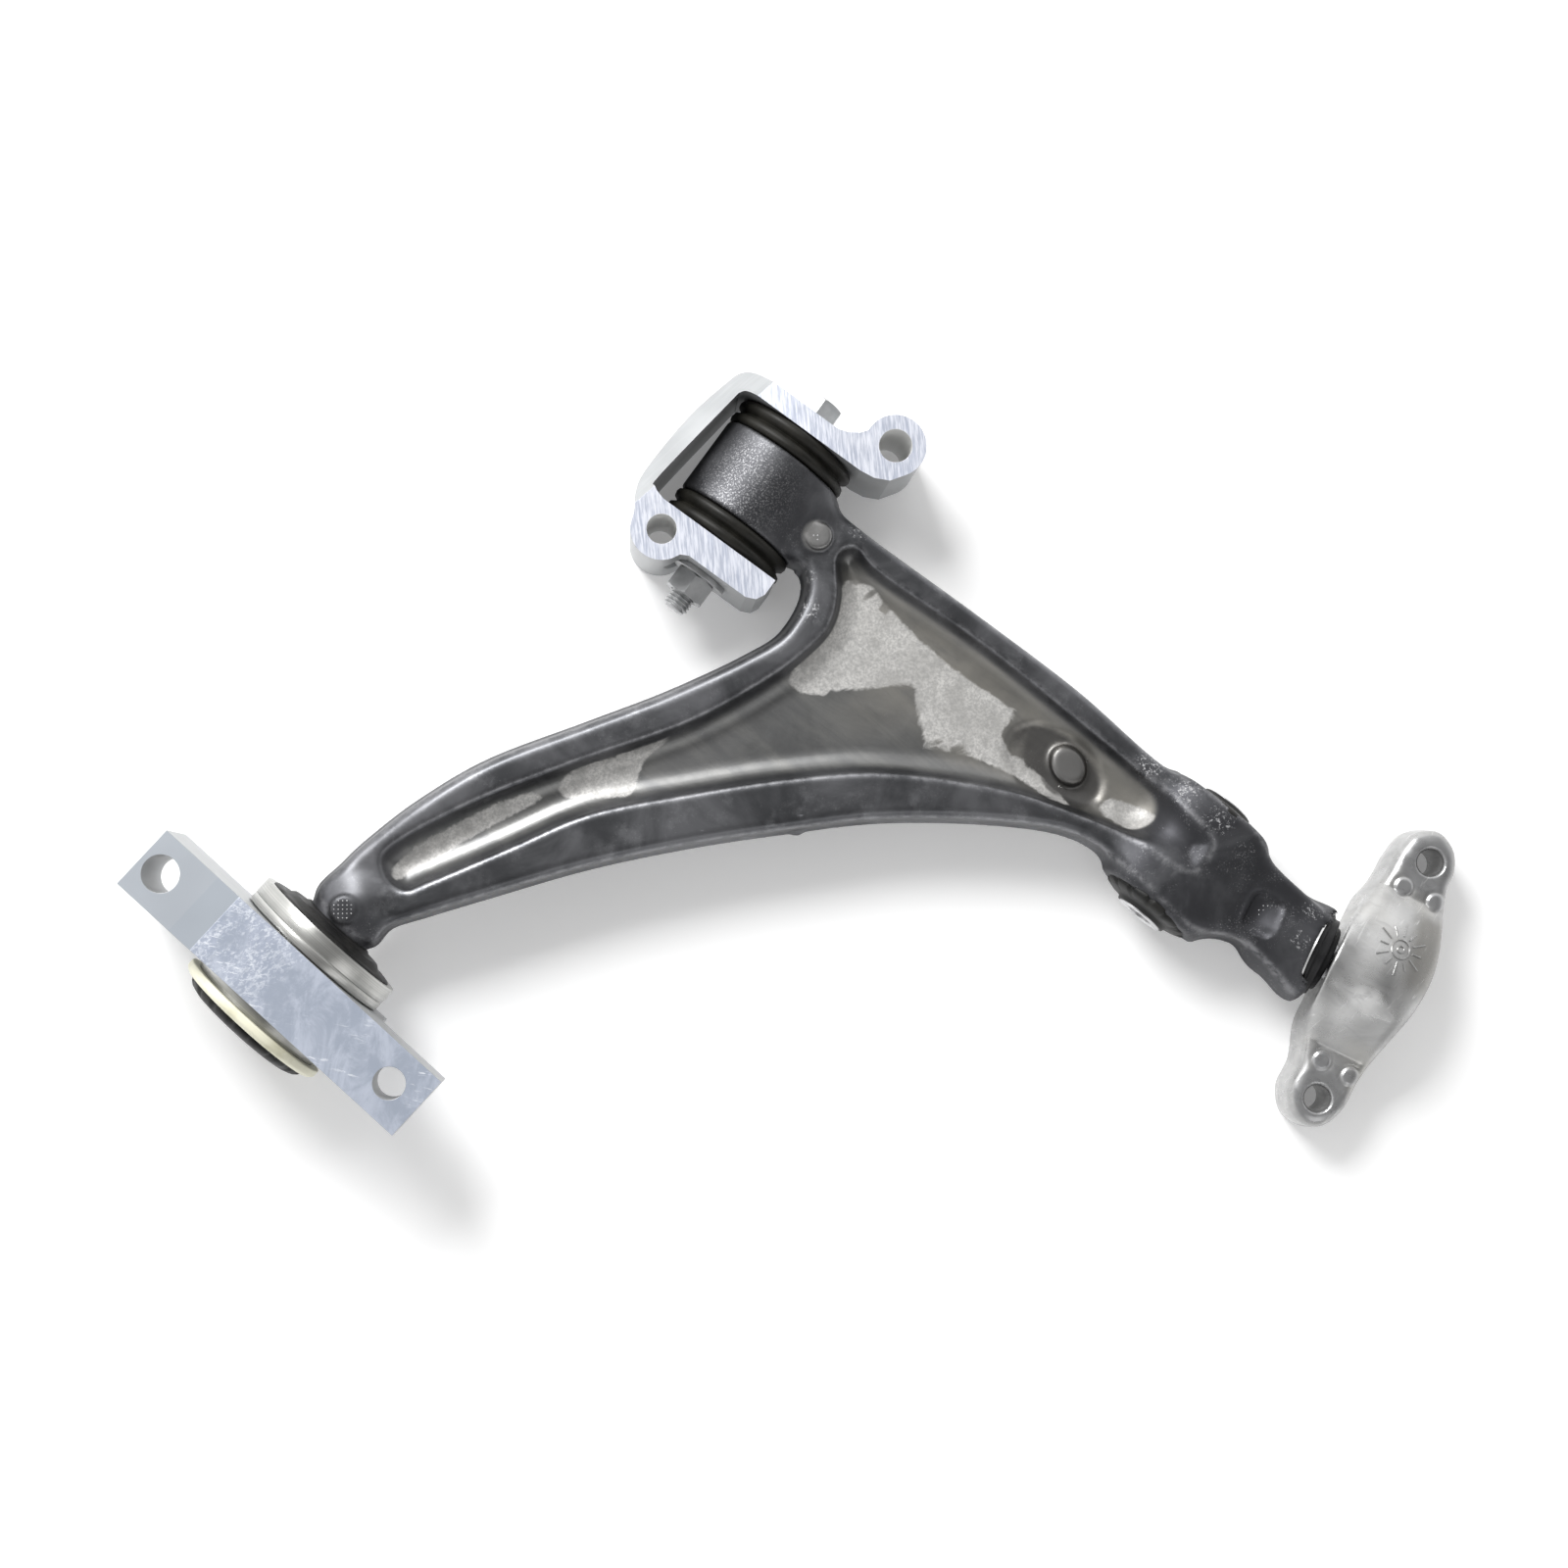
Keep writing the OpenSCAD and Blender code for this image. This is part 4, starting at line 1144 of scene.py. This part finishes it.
def boot():
    """A pleated cone from the housing's mouth to the stud."""
    segments, rows = 144, 40
    angle = np.linspace(0, 2 * math.pi, segments, endpoint=False)
    ring = np.stack([np.zeros(segments), np.cos(angle), np.sin(angle)], 1)
    start = mouth.out(ring * 19.5 + [13.1, 0, 0])
    end = stud.out(ring * 8.7 + [18.9, 0, 0])
    across = end - start
    length = np.linalg.norm(across, axis=1)[:, None]
    along = (across @ stud.axes[0])[:, None] * stud.axes[0]
    radial = ring @ stud.axes
    normal = radial - (radial * across).sum(1)[:, None] * across / length ** 2
    normal /= np.linalg.norm(normal, axis=1)[:, None]
    points = []
    for t in np.linspace(0, 1, rows):
        turn = t * math.pi / 2
        dome = start + along * math.sin(turn) + (across - along) * (1 - math.cos(turn))
        fold = 0.06 * math.sin(2 * math.pi * 3.5 * t) * math.sin(math.pi * t) * np.minimum(length, 14)
        points.append(dome + normal * fold)
    inner = [p - normal * 0.9 for p in points[::-1]]
    points = np.concatenate(points + inner)
    faces = ring_grid(2 * rows, segments, True)
    piece = make_piece("boot_pleated", points, faces, None, boot_rubber, ("boot",), angle=80)
    low = stud.out([10.5, 0, 0]) * MM
    high = stud.out([18.6, 0, 0]) * MM
    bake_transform(piece)


boot()


# ---------------------------------------------------------------- the frame's own nodes that stay

for node, material in (
        ("front_outer_sleeve", sleeve_metal), ("front_inner_sleeve", sleeve_metal),
        ("rear_inner_sleeve", sleeve_metal), ("damper_outer_sleeve", sleeve_metal),
        ("ball_seat", seat_white), ("ball_stud", ball_metal), ("ball_retainer", ring_metal),
        ("boot_housing_ring", ring_metal), ("boot_stud_ring", ring_metal)):
    data = frame["nodes"][node].data
    data.materials.clear()
    data.materials.append(material)


# ---------------------------------------------------------------- floor, light and camera

def floor():
    p = Paint("floor")
    tone = p.mix(p.noise(3, 2, 0.5), (0.90, 0.90, 0.90), (0.92, 0.92, 0.92))
    p.finish(tone, 0.75, Specular_IOR_Level=0.1, Emission_Color=(1, 1, 1), Emission_Strength=0.2)
    mesh = bpy.data.meshes.new("floor")
    size = 12
    mesh.from_pydata([(-size, -size, 0), (size, -size, 0), (size, size, 0), (-size, size, 0)], [],
                     [(0, 1, 2, 3)])
    mesh.materials.append(p.material)
    plane = bpy.data.objects.new("floor", mesh)
    plane.location.z = -0.0002
    bpy.context.scene.collection.objects.link(plane)


def area_light(name, at, size, power):
    light = bpy.data.lights.new(name, "AREA")
    light.shape = "SQUARE"
    light.size = size
    light.energy = power
    lamp = bpy.data.objects.new(name, light)
    lamp.location = at
    lamp.rotation_euler = (Vector((0.05, -0.1, 0)) - Vector(at)).to_track_quat("-Z", "Y").to_euler()
    bpy.context.scene.collection.objects.link(lamp)


def world():
    """Bright low down and dim overhead, and brighter on the lamp's side."""
    made = bpy.data.worlds.new("studio")
    bpy.context.scene.world = made
    made.use_nodes = True
    w = Nodes(made.node_tree)
    sky = w.node("TexCoord", "Generated", {})
    height = w.span(w.axis(sky, "Z"), 0.15, 0.85, 1.15, 0.30)
    lean = w.node("VectorMath", "Value", {0: sky, 1: (-0.22, 0.36, 0)}, operation="DOT_PRODUCT")
    background = w.tree.nodes["Background"]
    w.put(background.inputs["Strength"], w.plus(height, lean))
    w.put(background.inputs["Color"], (1, 1, 1))


def camera():
    """At the photo's angle, nearly overhead. Its focal length is in pixels of the photo's side."""
    focal, side = 3083, 1600
    data = bpy.data.cameras.new("camera")
    data.sensor_width = 36
    data.lens = data.sensor_width * focal / side
    data.clip_end = 50
    item = bpy.data.objects.new("camera", data)
    bpy.context.scene.collection.objects.link(item)
    eye, aim = Vector((-0.0205, -0.179, 1.4)), Vector((0.058, -0.1108, 0))
    forward = (aim - eye).normalized()
    right = Vector((-forward.z, 0, forward.x)).normalized()
    turn = np.array([right, right.cross(forward), -forward]).T
    item.rotation_mode = "QUATERNION"
    item.rotation_quaternion = Matrix(turn.tolist()).to_quaternion()
    item.location = eye
    bpy.context.scene.camera = item


floor()
world()
camera()
area_light("key", (-0.62, 1.0, 1.3), 0.8, 36)
area_light("fill", (0.6, -1.3, 1.2), 1.0, 4)
scene = bpy.context.scene
scene.view_settings.view_transform = "Standard"
scene.view_settings.look = "None"
